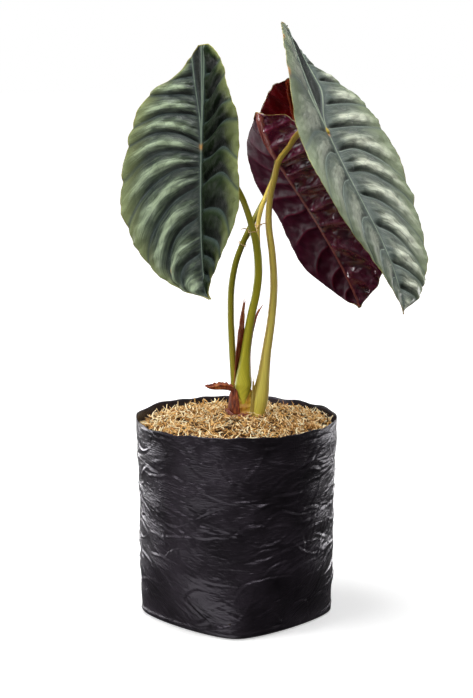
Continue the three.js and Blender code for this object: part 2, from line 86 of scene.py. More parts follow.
# Places of the side veins down the blade, as shares of its length, at 0, 1/3, 2/3 and all of the way
# out to the margin: the left half of each blade, then its right half.
VEIN_AT = [0, 1 / 3, 2 / 3, 1]
VEINS = {
    "left": (
        [
            (0.12, 0.12, 0.125, 0.135), (0.205, 0.193, 0.19, 0.19), (0.285, 0.268, 0.272, 0.325),
            (0.392, 0.35, 0.346, 0.4), (0.43, 0.415, 0.435, 0.535), (0.475, 0.488, 0.565, 0.7),
            (0.545, 0.604, 0.717, 0.84), (0.665, 0.73, 0.855, 0.95), (0.81, 0.85, 0.91, 0.97),
        ],
        [
            (0.12, 0.11, 0.09, 0.07), (0.22, 0.205, 0.168, 0.13), (0.31, 0.283, 0.242, 0.228),
            (0.385, 0.353, 0.305, 0.3), (0.45, 0.433, 0.4, 0.45), (0.55, 0.518, 0.508, 0.585),
            (0.645, 0.643, 0.668, 0.77), (0.745, 0.762, 0.787, 0.85), (0.822, 0.836, 0.86, 0.9),
            (0.9, 0.905, 0.92, 0.94),
        ],
    ),
    "right": (
        [
            (0.13, 0.12, 0.11, 0.1), (0.22, 0.215, 0.21, 0.2), (0.31, 0.305, 0.3, 0.31),
            (0.405, 0.42, 0.45, 0.52), (0.475, 0.494, 0.555, 0.7), (0.56, 0.6, 0.68, 0.8),
            (0.69, 0.72, 0.78, 0.88), (0.8, 0.82, 0.865, 0.93), (0.89, 0.9, 0.93, 0.965),
        ],
        [
            (0.13, 0.12, 0.11, 0.1), (0.215, 0.2, 0.19, 0.17), (0.31, 0.298, 0.288, 0.28),
            (0.39, 0.389, 0.392, 0.4), (0.468, 0.464, 0.507, 0.58), (0.537, 0.543, 0.592, 0.65),
            (0.608, 0.64, 0.708, 0.78), (0.713, 0.752, 0.824, 0.88), (0.84, 0.86, 0.885, 0.91),
            (0.92, 0.93, 0.94, 0.955),
        ],
    ),
    "rear": (
        [
            (0.09, 0.085, 0.08, 0.07), (0.17, 0.165, 0.16, 0.15), (0.255, 0.25, 0.245, 0.25),
            (0.325, 0.32, 0.33, 0.36), (0.41, 0.42, 0.44, 0.48), (0.52, 0.52, 0.54, 0.6),
            (0.59, 0.62, 0.68, 0.75), (0.69, 0.76, 0.85, 0.92), (0.85, 0.89, 0.93, 0.96),
        ],
        [
            (0.12, 0.1, 0.08, 0.07), (0.22, 0.21, 0.19, 0.17), (0.31, 0.298, 0.263, 0.23),
            (0.37, 0.365, 0.38, 0.4), (0.43, 0.432, 0.44, 0.46), (0.5, 0.515, 0.52, 0.55),
            (0.595, 0.6, 0.63, 0.67), (0.69, 0.715, 0.77, 0.84), (0.8, 0.82, 0.86, 0.91),
            (0.9, 0.91, 0.93, 0.95),
        ],
    ),
}

# at is where the petiole ends; length and width are the blade's length and half width, petiole the
# share of its length before the petiole, and grid its points across and down. turn is yaw, pitch,
# roll; bend is tip bend, tip curl, base bend, tip sway, base sway, tip twist, base twist; fold is the
# slope at the midrib, at the margin, and what the base adds to each. Pairs are for the left and right
# half: ribs, in mm, is how far out its basal vein runs, high a cushion's rise, crest where it is
# highest between its two veins, pit its dents, minor a short vein between two side veins and crumple
# the wrinkles; glow is where the painted sheen on a panel is palest and how wide that is, lower how
# dark the painted shade on its lower flank is, outer where the margin's colour starts and core how
# grey it is beside the midrib, partly a painted reflection. widen is how fast the basal veins part,
# and hook, in mm, how far the tip bends to the right. spots are place, width share and size in
# mm.
LEAVES = {
    "left": dict(
        at=(-21.4, -45, 308.9), turn=(-0.8, -0.09, -0.06), length=156, width=54.2, petiole=0.4,
        bend=(-0.09, 0.16, 0.01, 0.18, -0.06, 0.04, 0.13), tip_fold=0.05,
        fold_left=(0.38, 0.32, 0.05, 0.03), fold_right=(0.44, 0.08, 0.03, 0.12),
        left=(0.06, 0.17, 0.34, 0.72, 0.87, 0.95, 1.03, 1, 0.86, 0.65, 0.32),
        right=(0.1, 0.32, 0.62, 0.76, 0.94, 0.93, 1, 1.01, 0.84, 0.51, 0.15),
        veins="left", grid=(141, 281), seed=3, ribs=(9.5, 2.4), widen=1.0, high=(2.9, 2.9),
        crest=(0.74, 0.26), pit=(0.7, 0.25), minor=(1.1, 0.6), crumple=(0.4, 0.24),
        glow=((0.57, 0.24), (0.08, 0.1)), lower=(0.2, 0.9), outer=(0.64, 0.64), core=(0, 0), hook=3.6,
        spots=((0.4, 0, 1.5), (0.74, -0.62, 1.2)),
    ),
    "right": dict(
        at=(57.1, -25, 315.2), turn=(1.03, -0.57, 0.15), length=215, width=58.1, petiole=0.41,
        bend=(-0.33, 0.66, 0.15, -0.15, 0.5, -0.03, -0.3), tip_fold=-0.12,
        fold_left=(0.35, 0, 0.34, 0.03), fold_right=(0.35, -0.02, 0.35, -0.17),
        left=(0.04, 0.25, 0.45, 0.7, 0.89, 0.97, 1.02, 1.06, 0.84, 0.45, 0.2),
        right=(0.08, 0.26, 0.42, 0.7, 0.89, 0.9, 0.91, 0.88, 0.73, 0.55, 0.33),
        veins="right", grid=(141, 281), seed=8, ribs=(4, 12), widen=0.45, high=(1.5, 2.7),
        crest=(0.5, 0.76), pit=(0.1, 0.5), minor=(0.3, 0.8), crumple=(0.25, 0.32),
        glow=((0.66, 0.4), (0.64, 0.25)), lower=(0.0, 0.0), outer=(0.6, 0.5), core=(0.5, 0.65),
        spots=((0.41, 0, 1.3), (0.05, -0.95, 2.0), (0.2, -0.97, 1.6), (0.3, -0.97, 1.8)),
    ),
    "rear": dict(
        at=(26.5, 45, 293.2), turn=(2.29, -0.61, 0.15), length=151, width=50.4, petiole=0.24,
        bend=(0.25, 0.25, -0.23, -0.34, -0.28, -0.28, 0.09), tip_fold=-0.06,
        fold_left=(0.46, 0.45, 0.79, 0.53), fold_right=(0.22, 0.25, 0.34, 0.43),
        left=(0.05, 0.36, 0.48, 0.61, 0.7, 0.97, 1, 0.95, 0.78, 0.62, 0.33),
        right=(0.03, 0.13, 0.45, 0.79, 0.95, 1.06, 0.95, 0.92, 0.86, 0.55, 0.25),
        veins="rear", grid=(121, 221), seed=5, ribs=(1.5, 1.5), widen=0.45, high=(4.0, 1.7),
        crest=(0.62, 0.5), pit=(1.1, 0.2), minor=(0.9, 0.3), crumple=(0.62, 0.2),
        glow=((0.5, 0.3), (0.5, 0.4)), lower=(0.2, 0.2), outer=(0.5, 0.5), core=(0, 0),
    ),
    "back": dict(
        at=(39.7, 76, 313.8), turn=(2.96, -0.5, 0.04), length=184, width=31.1, petiole=0.32,
        bend=(0.22, 0.21, 0.85, -0.49, -0.16, -0.08, 0), tip_fold=-0.08,
        fold_left=(0.37, 0.16, 0.02, 0.03), fold_right=(0.34, 0.2, 0.16, 0.14),
        left=(0.05, 0.32, 0.43, 0.64, 0.79, 0.91, 0.93, 0.96, 0.8, 0.65, 0.28),
        right=(0.03, 0.11, 0.32, 0.52, 0.81, 1.08, 1.05, 0.96, 0.8, 0.59, 0.25),
        veins="rear", grid=(81, 181), seed=11, ribs=(1.5, 1.5), widen=0.45, high=(1.6, 1.6),
        crest=(0.5, 0.5), pit=(0.4, 0.4), minor=(0.4, 0.4), crumple=(0.2, 0.2),
        glow=((0.5, 0.3), (0.5, 0.3)), lower=(0.2, 0.2), outer=(0.5, 0.5), core=(0, 0),
    ),
}

# Petioles: x, y, z, radius from the crown to the blade
PETIOLES = {
    "left": [
        (4.6, -5.6, 138.6, 0.5), (4.4, -4.9, 142, 1.8), (4.3, -3.8, 145.5, 3.3),
        (4.2, -2.4, 149.5, 4.9), (4.2, -1.6, 153, 5.5), (4.7, -1.8, 161, 4.4),
        (5.8, -3, 174, 3.1), (9, -5, 196, 2.65), (12.7, -6, 214, 2.6), (13.9, -7, 228, 2.6),
        (12.6, -8, 244, 2.45), (10.5, -9, 253, 2.15), (6.8, -11, 265.7, 2),
        (2.6, -15, 276.6, 1.95), (-7.1, -27, 293.4, 1.9), (-17.5, -41, 306.4, 1.9),
        (-21.4, -45, 308.9, 1.9),
    ],
    "right": [
        (11, 0.5, 124, 4.6), (12.6, 0, 133, 5.6), (14.3, 0, 141, 5.8), (16, 0, 148.5, 5.1),
        (17.5, -0.5, 159, 3.9), (19.2, -1, 173.5, 3.1), (22.3, -1, 195, 2.65),
        (23.9, -1, 216.7, 2.45), (22.7, -1, 238, 2.3), (20.6, -1, 254, 2.2), (20.5, -1, 264.6, 2.1),
        (21.6, -1, 275.2, 2), (24.1, -2, 285.8, 1.9), (26.8, -3, 296.8, 1.85), (33.2, -5, 306, 1.8),
        (38.2, -8, 313.9, 1.8), (47.1, -15, 319.1, 1.8), (54.3, -22, 318, 1.9),
        (57.1, -25, 315.2, 1.9),
    ],
    "rear": [
        (0.6, 4, 139, 3.2), (-0.8, 3, 148, 2.8), (-1.6, 2, 156.6, 2.35), (-3.2, 4, 183.5, 2.2),
        (-3.7, 5, 199.5, 2.15), (-3.2, 6, 215.6, 2.1), (-0.5, 7, 230.5, 2), (3.7, 8, 242.2, 1.9),
        (8, 10, 251.6, 1.8), (13.6, 14, 262.2, 1.75), (20.2, 25, 273.6, 1.7), (23.1, 33, 280, 1.7),
        (26, 42, 289.5, 1.7), (26.5, 45, 293.2, 1.7),
    ],
    "back": [
        (6.5, 9, 136, 3.2), (6, 9.2, 150, 2.7), (6.2, 8.6, 172, 2.1), (9.2, 7, 195, 1.85),
        (12.8, 5.5, 214, 1.7), (14.1, 4, 230, 1.6), (13.7, 2.5, 244, 1.55), (13.7, 3, 255.7, 1.5),
        (15.9, 5, 266.1, 1.5), (19, 8, 274.2, 1.45), (22.2, 9, 281.5, 1.4), (24.9, 9.5, 286.7, 1.4),
        (27.5, 11, 296.1, 1.4), (34.2, 16, 305.3, 1.4), (40.5, 22, 312.3, 1.4),
        (47.5, 32, 319.5, 1.4), (49.5, 44, 323.5, 1.4), (48, 59, 323.5, 1.4), (43.5, 70, 319.8, 1.5),
        (39.7, 76, 313.8, 1.5),
    ],
}

RHIZOME = [
    (5, 2, 103, 5.5), (5, 2, 112, 8.2), (5, 2, 121, 9.4), (4.6, 2, 129, 9.2), (4.4, 2, 136, 9.6),
    (4.2, 2, 143, 8), (4.2, 2, 149, 5.2),
]


# Numbers


def smooth(x):
    """A step from 0 to 1 that leaves and arrives level: 3x^2 - 2x^3, clipped."""
    t = np.clip(x, 0, 1)
    return t * t * (3 - 2 * t)


def through(xs, ys, x):
    """A cubic through the points, whose slope at each is that between its two neighbours."""
    xs, ys = np.asarray(xs, float), np.asarray(ys, float)
    last = len(xs) - 1
    before, after = np.maximum(np.arange(last + 1) - 1, 0), np.minimum(np.arange(last + 1) + 1, last)
    slope = (ys[after] - ys[before]) / (xs[after] - xs[before])
    i = np.clip(np.searchsorted(xs, x) - 1, 0, last - 1)
    h = xs[i + 1] - xs[i]
    t = np.clip((x - xs[i]) / h, 0, 1)
    a = (1 + 2 * t) * (1 - t) ** 2
    inner = a * ys[i] + t * (1 - t) ** 2 * h * slope[i]
    return inner + (1 - a) * ys[i + 1] - t * t * (1 - t) * h * slope[i + 1]


def unit(v):
    """Vectors at length one."""
    return v / np.maximum(np.linalg.norm(v, axis=-1, keepdims=True), 1e-9)


def waves(rng, x, y, lengths):
    """Smooth noise of about unit height: a sum of sine waves in random directions, one for each
    wavelength."""
    total = np.zeros_like(x)
    for wavelength in lengths:
        heading, phase = rng.uniform(0, 2 * math.pi, 2)
        turn = 2 * math.pi / wavelength
        total = total + np.sin(turn * (x * math.cos(heading) + y * math.sin(heading)) + phase)
    return total / math.sqrt(len(lengths) / 2)


def angles(count):
    """That many directions, evenly round a full turn."""
    return 2 * math.pi * np.arange(count) / count


def polar(radius, angle, height, centre=(0, 0)):
    """Points at that radius, direction and height about an upright axis through centre."""
    return np.stack([centre[0] + radius * np.cos(angle), centre[1] + radius * np.sin(angle), height], -1)


def path_points(stations, steps):
    """Centripetal Catmull-Rom path through the stations, with its tangents and radii: each span is
    a cubic whose end slopes weigh the neighbouring spans by the root of their length."""
    stations = np.asarray(stations, float)
    p = stations[:, :3]
    p = np.vstack([2 * p[0] - p[1], p, 2 * p[-1] - p[-2]])
    t = np.linspace(0, 1, steps + 1) * (len(stations) - 1)
    i = np.minimum(t.astype(int), len(stations) - 2)
    w = (t - i)[:, None]
    p0, p1, p2, p3 = p[i], p[i + 1], p[i + 2], p[i + 3]
    spans = ((p0, p1), (p1, p2), (p2, p3))
    d0, d1, d2 = (np.sqrt(np.linalg.norm(b - a, axis=1, keepdims=True)) for a, b in spans)
    m1 = ((p1 - p0) / d0 - (p2 - p0) / (d0 + d1) + (p2 - p1) / d1) * d1
    m2 = ((p2 - p1) / d1 - (p3 - p1) / (d1 + d2) + (p3 - p2) / d2) * d1
    a, b = 2 * p1 - 2 * p2 + m1 + m2, -3 * p1 + 3 * p2 - 2 * m1 - m2
    point = ((a * w + b) * w + m1) * w + p1
    tangent = unit((3 * a * w + 2 * b) * w + m1)
    share = np.arange(len(stations)) / (len(stations) - 1)
    return point, tangent, through(share, stations[:, 3], t / (len(stations) - 1))


# Meshes


def grid_faces(rows, columns, wrap=False, first=0):
    """Quads of a grid whose points run along its columns, closed round if wrap is true."""
    i, j = np.mgrid[: rows - 1, : columns if wrap else columns - 1]
    a, b = i * columns + j, i * columns + (j + 1) % columns
    return np.stack([a, b, b + columns, a + columns], -1).reshape(-1, 4) + first


def end_caps(rows, count):
    """The two polygons that close a wrapped grid, at its first and its last row."""
    return np.stack([np.arange(count)[::-1], np.arange(count) + (rows - 1) * count])


def new_piece(name, points, faces, materials, replaces=(), values=None, uv=None, kinds=None):
    """A smooth closed mesh from points in mm and a list of face arrays, turned so that it faces out.
    values are point attributes, uv a pair for each point, kinds a material index for each face."""
    loops = np.concatenate([f.ravel() for f in faces])
    sizes = np.concatenate([np.full(len(f), f.shape[1]) for f in faces])
    starts = np.concatenate([[0], np.cumsum(sizes)[:-1]])
    volume = 0.0
    for f in faces:
        for k in range(1, f.shape[1] - 1):
            a, b, c = points[f[:, 0]], points[f[:, k]], points[f[:, k + 1]]
            volume += np.einsum("ij,ij->", a, np.cross(b, c))
    if volume < 0:
        loops = np.concatenate([f[:, ::-1].ravel() for f in faces])
    mesh = bpy.data.meshes.new(name)
    mesh.vertices.add(len(points))
    mesh.vertices.foreach_set("co", (points / 1000).astype(np.float32).ravel())
    mesh.loops.add(len(loops))
    mesh.loops.foreach_set("vertex_index", loops.astype(np.int32))
    mesh.polygons.add(len(sizes))
    mesh.polygons.foreach_set("loop_start", starts.astype(np.int32))
    if kinds is not None:
        mesh.polygons.foreach_set("material_index", np.asarray(kinds, np.int32))
    mesh.update(calc_edges=True)
    mesh.polygons.foreach_set("use_smooth", np.ones(len(sizes), bool))
    if uv is not None:
        layer = mesh.uv_layers.new(name="surface")
        layer.uv.foreach_set("vector", uv[loops].astype(np.float32).ravel())
    for key, value in (values or {}).items():
        data = mesh.attributes.new(key, "FLOAT", "POINT").data
        data.foreach_set("value", np.ravel(value).astype(np.float32))
    for material in materials:
        mesh.materials.append(material)
    obj = bpy.data.objects.new(name, mesh)
    bpy.context.scene.collection.objects.link(obj)
    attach(obj, "root")
    if replaces:
        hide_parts(*replaces)
    return obj


def shell(top, bottom):
    """A closed sheet from two grids that share their border: points, faces, and a flag for each face
    that is 1 on the underside."""
    rows, columns = top.shape[:2]
    index = np.arange(rows * columns).reshape(rows, columns)
    under = index.copy()
    inner = np.zeros((rows, columns), bool)
    inner[1:-1, 1:-1] = True
    under[inner] = rows * columns + np.arange(inner.sum())
    faces = grid_faces(rows, columns)
    below = under.ravel()[faces][:, ::-1]
    points = np.concatenate([top.reshape(-1, 3), bottom[inner]])
    kinds = np.concatenate([np.zeros(len(faces)), np.ones(len(below))])
    return points, [faces, below], kinds, inner


def tubes(centres, radii, sides, flat=1.0, reference=(1, 0, 0)):
    """Closed tubes round many paths: centres is paths x steps x 3, and each ring is a circle across
    the path, squashed to flat times its width one way. The ends are small flat caps."""
    paths, steps = centres.shape[:2]
    tangent = unit(np.gradient(centres, axis=1))
    side = unit(np.cross(tangent, np.broadcast_to(reference, tangent.shape)))
    up = np.cross(side, tangent)
    angle = angles(sides)
    across, rise = np.cos(angle), np.sin(angle) * flat
    ring = side[:, :, None] * across[:, None] + up[:, :, None] * rise[:, None]
    points = centres[:, :, None] + ring * radii[:, :, None, None]
    block = grid_faces(steps, sides, wrap=True)
    first = np.arange(paths)[:, None, None] * steps * sides
    caps = end_caps(steps, sides)
    return points, [(block + first).reshape(-1, 4), (caps + first).reshape(-1, sides)]


# Colours and shader nodes


def linear(code):
    """An sRGB hex colour as linear red, green, blue and alpha."""
    srgb = [int(code[k : k + 2], 16) / 255 for k in (1, 3, 5)]
    return (*(c / 12.92 if c <= 0.04045 else ((c + 0.055) / 1.055) ** 2.4 for c in srgb), 1.0)


def node(tree, kind, inputs=None, ramp=None, **settings):
    """Adds a shader node. inputs gives its sockets by name or number, each a value, a node or a
    socket; ramp is a list of places and colours."""
    made = tree.nodes.new("ShaderNode" + kind)
    for key, value in settings.items():
        setattr(made, key, value)
    for key, value in (inputs or {}).items():
        socket = next(s for n, s in enumerate(made.inputs) if s.enabled and key in (n, s.name))
        if isinstance(value, bpy.types.Node):
            value = next(s for s in value.outputs if s.enabled)
        if isinstance(value, bpy.types.NodeSocket):
            tree.links.new(value, socket)
        else:
            socket.default_value = value
    if ramp:
        stops = made.color_ramp.elements
        while len(stops) < len(ramp):
            stops.new(0.5)
        for stop, (place, hue) in zip(stops, ramp):
            stop.position = place
            stop.color = linear(hue) if isinstance(hue, str) else hue
    return made


# The range that nearly all of a noise's values lie in
NOISE_SWING = {"From Min": 0.3, "From Max": 0.7}


def new_material(name):
    """An empty material with its surface output; returns it with its node tree and output."""
    made = bpy.data.materials.new(name)
    made.use_nodes = True
    made.node_tree.nodes.clear()
    return made, made.node_tree, node(made.node_tree, "OutputMaterial")


def wear(tree, out, colour, roughness, height, depth, **surface):
    """Finishes a material: a Principled surface with that colour and roughness, and a bump whose
    full height is depth in mm."""
    bump = node(tree, "Bump", {"Height": height, "Distance": depth / 1000, "Strength": 1.0})
    inputs = {"Base Color": colour, "Roughness": roughness, "Normal": bump}
    for key, value in surface.items():
        inputs[key.replace("_", " ").title().replace("Ior", "IOR")] = value
    tree.links.new(node(tree, "BsdfPrincipled", inputs).outputs[0], out.inputs[0])


def lay(tree, body, look, layers):
    """Lays colours of a look over a body colour. Each layer gives its colour, the value that places
    it, that value's range, and how much of the colour shows at the range's start and end."""
    for colour, value, start, end, low, high in layers:
        inputs = {"Value": value, "From Min": start, "From Max": end, "To Min": low, "To Max": high}
        inputs = {"Factor": node(tree, "MapRange", inputs), "A": body, "B": getattr(look, colour)}
        body = node(tree, "Mix", inputs, data_type="RGBA")
    return body


def film_material(bag):
    """Black low-density polyethylene film, blown and tumbled: a satin black with a greyish bloom
    where it was stretched, and fine crinkles that run round the bag."""
    made, tree, out = new_material("polyethylene_film")
    place = node(tree, "TexCoord").outputs["Object"]
    surface = node(tree, "UVMap", uv_map="surface")
    # crinkles about 1.4 mm high and 7 mm long, in two sets that cross at a low angle
    crinkle = 0.0
    for lean in (0.3, -0.26):
        inputs = {"Vector": surface, "Rotation": (0, 0, lean), "Scale": (0.14, 0.72, 1.0)}
        inputs = {"Vector": node(tree, "Mapping", inputs), "Scale": 1.0, "Detail": 2.0}
        inputs |= {"Roughness": 0.55, "Distortion": 0.25}
        ridges = node(tree, "TexNoise", inputs, noise_type="RIDGED_MULTIFRACTAL")
        crinkle = node(tree, "Math", {0: ridges, 1: crinkle}, operation="MAXIMUM")
    grain = node(tree, "TexNoise", {"Vector": place, "Scale": 900.0, "Detail": 2.0})
    bloom = node(tree, "TexNoise", {"Vector": place, "Scale": 38.0, "Detail": 5.0, "Roughness": 0.65})
    # they come in patches some 25 mm wide, with calmer film between
    inputs = {"Value": bloom, "From Min": 0.4, "From Max": 0.6, "To Min": 0.55, "To Max": 1.2}
    patch = node(tree, "Math", {0: crinkle, 1: node(tree, "MapRange", inputs)}, operation="MULTIPLY")
    height = node(tree, "Math", {0: grain, 1: 0.3, 2: patch}, operation="MULTIPLY_ADD")
    colour = node(tree, "ValToRGB", {"Fac": bloom}, ramp=[(0.32, bag.film), (0.72, bag.bloom)])
    rough = node(tree, "MapRange", {"Value": bloom, "To Min": 0.27, "To Max": 0.42} | NOISE_SWING)
    wear(tree, out, colour, rough, height, 0.42, ior=1.5, specular_tint=bag.sheen)
    return made


def fibre_material(mulch):
    """Shredded coconut husk: dry, matt strands from cream to brown, each a tone of its own."""
    made, tree, out = new_material("coconut_fibre")
    tone = node(tree, "Attribute", attribute_name="tone")
    place = node(tree, "TexCoord").outputs["Object"]
    grain = node(tree, "TexNoise", {"Vector": place, "Scale": 900.0, "Detail": 2.0})
    shade = node(tree, "MapRange", {"Value": grain, "To Min": -0.12, "To Max": 0.12})
    total = node(tree, "Math", {0: tone.outputs["Fac"], 1: shade}, operation="ADD")
    ramp = [(0.0, mulch.dark), (0.35, mulch.middle), (0.75, mulch.straw), (1.0, mulch.pale)]
    colour = node(tree, "ValToRGB", {"Fac": total}, ramp=ramp)
    wear(tree, out, colour, 0.82, grain, 0.15)
    return made


def blade_upper_material(name, look, ior):
    """The upper side of a living leaf: waxy and satin, with a metallic bloom on the cushions in
    streaks that follow the veins, slate along the sunken veins, and yellow green at the margin."""
    made, tree, out = new_material(name)
    keys = ("crest", "vein", "strip", "shade", "rib", "channel", "outer", "edge", "side", "spot")
    crest, vein, strip, shade, rib, channel, outer, edge, side, spot = (
        node(tree, "Attribute", attribute_name=key).outputs["Fac"] for key in keys
    )
    place = node(tree, "TexCoord").outputs["Object"]
    surface = node(tree, "UVMap", uv_map="surface")
    # mottling of about 6 mm, streaks of painted sheen 1 mm wide and 12 mm long, and the cells of the
    # skin drawn at 0.8 mm so that they show
    mottle = node(tree, "TexNoise", {"Vector": place, "Scale": 160.0, "Detail": 8.0, "Roughness": 0.68})
    drawn = node(tree, "Mapping", {"Vector": surface, "Scale": (0.08, 0.95, 1.0)})
    inputs = {"Vector": drawn, "Scale": 1.0, "Detail": 6.0, "Roughness": 0.6, "Distortion": 0.5}
    streak = node(tree, "TexNoise", inputs)
    skin = node(tree, "TexNoise", {"Vector": place, "Scale": 1200.0, "Detail": 2.0})
    # the finest veins: a net with meshes of about 5 mm
    meshes = node(tree, "Mapping", {"Vector": surface, "Scale": (0.17, 0.26, 1.0)})
    net = node(tree, "TexVoronoi", {"Vector": meshes, "Scale": 1.0}, feature="DISTANCE_TO_EDGE")
    inputs = {"Value": net.outputs["Distance"], "From Max": 0.07, "To Min": 1.0, "To Max": 0.0}
    thread = node(tree, "MapRange", inputs)
    # painted sheen: the crest's glow and the streaks, added to a mottled tone
    light = crest
    for pattern, swing in ((mottle, 0.1), (streak, 0.36)):
        inputs = {"Value": pattern, "To Min": -swing, "To Max": swing} | NOISE_SWING
        light = node(tree, "Math", {0: light, 1: node(tree, "MapRange", inputs)}, operation="ADD")
    stops = [(0.0, look.trough), (0.5, look.middle), (1.0, look.crest)]
    body = lay(tree, node(tree, "ValToRGB", {"Fac": light}, ramp=stops), look, (
        ("slate", thread, 0.0, 1.0, 0.0, 0.3),
        # painted shade over the half of the blade that faces away from the light
        ("shadow", side, 0.0, 1.0, look.left_half, look.right_half),
        ("margin", outer, 0.0, 1.0, 0.0, look.margin_share),
        # slate along the veins: partly their own colour, partly a painted reflection
        ("slate", strip, 0.0, 1.0, 0.0, 0.85),
        # painted shade: the deep colour in the creases
        ("deep", shade, 0.0, 1.0, 0.0, 0.9),
        # painted shade in the channel between the basal veins
        ("deep", channel, 0.0, 1.0, 0.0, look.channel_depth),
        ("vein", vein, 0.15, 0.5, look.vein_share, 0.0),
        ("slate", rib, 0.9, 2.6, 0.7, 0.0),
        ("rib", rib, 0.35, 0.85, 0.85, 0.0),
        ("hem", edge, 0.25, 0.8, 0.9, 0.0),
        ("spot", spot, 0.0, 1.0, 0.0, 1.0),
    ))
    rough = node(tree, "MapRange", {"Value": mottle, "To Min": 0.36, "To Max": 0.5} | NOISE_SWING)
    sunk = node(tree, "Math", {0: thread, 1: -0.6, 2: skin}, operation="MULTIPLY_ADD")
    wear(tree, out, body, rough, sunk, 0.18, ior=ior)
    return made


def blade_under_material(name, look, ior, dullness, film=0.0):
    """The underside of the leaf: wine red, browner in the middle of each panel, its standing veins a
    warmer brown; film is how much of a wet film lies on it."""
    made, tree, out = new_material(name)
    crest, vein, rib, edge, side = (
        node(tree, "Attribute", attribute_name=key).outputs["Fac"]
        for key in ("crest", "vein", "rib", "edge", "side")
    )
    place = node(tree, "TexCoord").outputs["Object"]
    mottle = node(tree, "TexNoise", {"Vector": place, "Scale": 120.0, "Detail": 5.0, "Roughness": 0.6})
    # wrinkles of about 2 mm in the thin skin
    inputs = {"Vector": place, "Scale": 420.0, "Detail": 3.0, "Distortion": 0.6}
    wrinkle = node(tree, "TexNoise", inputs)
    body = node(tree, "ValToRGB", {"Fac": mottle}, ramp=[(0.3, look.deep), (0.7, look.plum)])
    body = lay(tree, body, look, (
        ("panel", crest, 0.4, 1.0, 0.0, 0.55),
        ("deep", side, 0.0, 1.0, 0.0, look.shaded_half),
        ("vein", vein, 0.2, 0.7, 0.35, 0.0),
        ("rib", rib, 0.9, 1.5, 0.9, 0.0),
        ("hem", edge, 0.3, 0.8, 0.9, 0.0),
    ))
    inputs = {"Value": mottle, "To Min": dullness, "To Max": dullness + 0.12} | NOISE_SWING
    rough = node(tree, "MapRange", inputs)
    wear(tree, out, body, rough, wrinkle, 0.16, ior=ior, coat_weight=film, coat_roughness=0.18)
    return made


def petiole_material(name, look):
    """A fleshy leaf stalk: smooth, satin, pale at its sheathing foot and olive above, with faint
    lengthwise streaks and darker flanks."""
    made, tree, out = new_material(name)
    along, flank = (
        node(tree, "Attribute", attribute_name=key).outputs["Fac"] for key in ("along", "flank")
    )
    surface = node(tree, "UVMap", uv_map="surface")
    # streaks 0.7 mm wide and some 30 mm long
    fine = node(tree, "Mapping", {"Vector": surface, "Scale": (1.4, 0.035, 1.0)})
    streak = node(tree, "TexNoise", {"Vector": fine, "Scale": 1.0, "Detail": 3.0})
    stops = [(0.0, look.foot), (0.22, look.low), (0.55, look.middle), (1.0, look.top)]
    body = lay(tree, node(tree, "ValToRGB", {"Fac": along}, ramp=stops), look, (
        # painted shade on the flanks, then streaks of the same colour
        ("flank", flank, 0.45, 1.0, 0.0, 0.6),
        ("flank", streak, 0.35, 0.7, 0.0, 0.24),
    ))
    rough = node(tree, "MapRange", {"Value": streak, "To Min": 0.3, "To Max": 0.45})
    wear(tree, out, body, rough, streak, 0.12, ior=1.4)
    return made


def husk_material(name, dark, middle, light, scale=260.0, roughness=0.72):
    """Dead sheath tissue: papery and fibrous, torn, reddish brown with lighter ribs."""
    made, tree, out = new_material(name)
    place = node(tree, "TexCoord").outputs["Object"]
    rib = node(tree, "Mapping", {"Vector": place, "Scale": (scale * 2, scale * 2, scale * 0.5)})
    fibres = node(tree, "TexNoise", {"Vector": rib, "Scale": 1.0, "Detail": 4.0, "Roughness": 0.65})
    colour = node(tree, "ValToRGB", {"Fac": fibres}, ramp=[(0.32, dark), (0.5, middle), (0.7, light)])
    wear(tree, out, colour, roughness, fibres, 0.5)
    return made


def peat_material():
    """Moist potting mix: dark crumbs of peat 2 to 3 mm across."""
    made, tree, out = new_material("potting_peat")
    place = node(tree, "TexCoord").outputs["Object"]
    crumbs = node(tree, "TexVoronoi", {"Vector": place, "Scale": 400.0})
    away = crumbs.outputs["Distance"]
    colour = node(tree, "ValToRGB", {"Fac": away}, ramp=[(0.0, "#4a372a"), (0.6, "#1d1510")])
    wear(tree, out, colour, 0.95, away, 1.0)
    return made


# Leaves


# Steps along a midrib
FRAMES = 60


def midrib_frames(leaf):
    """Points down the blade from its basal end, one more than FRAMES: the way ahead bends back by a
    and sways sideways by b, and the places are the running sum of the way; the cross axis and normal
    also twist."""
    behind = leaf["length"] * leaf["petiole"]
    ahead = leaf["length"] - behind
    v = np.linspace(-behind, ahead, FRAMES + 1)
    tip, base = np.clip(v / ahead, 0, 1), np.clip(-v / behind, 0, 1)
    tip_bend, tip_curl, base_bend, tip_sway, base_sway, tip_twist, base_twist = leaf["bend"]
    a = tip_bend * tip + tip_curl * tip**3 - base_bend * base
    b = tip_sway * tip - base_sway * base
    twist = (tip_twist * tip + base_twist * base)[:, None]
    way = np.stack([np.sin(b) * np.cos(a), np.sin(a), -np.cos(b) * np.cos(a)], -1)
    across = np.stack([np.cos(b), 0 * b, np.sin(b)], -1)
    normal = unit(np.cross(way, across))
    x = across * np.cos(twist) + normal * np.sin(twist)
    z = normal * np.cos(twist) - across * np.sin(twist)
    place = np.vstack([np.zeros(3), np.cumsum(way[:-1] * leaf["length"] / FRAMES, axis=0)])
    zero = leaf["petiole"] * FRAMES
    share = zero - int(zero)
    origin = place[int(zero)] * (1 - share) + place[int(zero) + 1] * share
    return place - origin, x, z


def turned(points, turn):
    """Points turned by roll about Y, then pitch about X, then yaw about Z."""
    (cy, cp, cr), (sy, sp, sr) = np.cos(turn), np.sin(turn)
    roll = np.array([[cr, 0, sr], [0, 1, 0], [-sr, 0, cr]])
    pitch = np.array([[1, 0, 0], [0, cp, -sp], [0, sp, cp]])
    yaw = np.array([[cy, -sy, 0], [sy, cy, 0], [0, 0, 1]])
    return points @ (yaw @ pitch @ roll).T


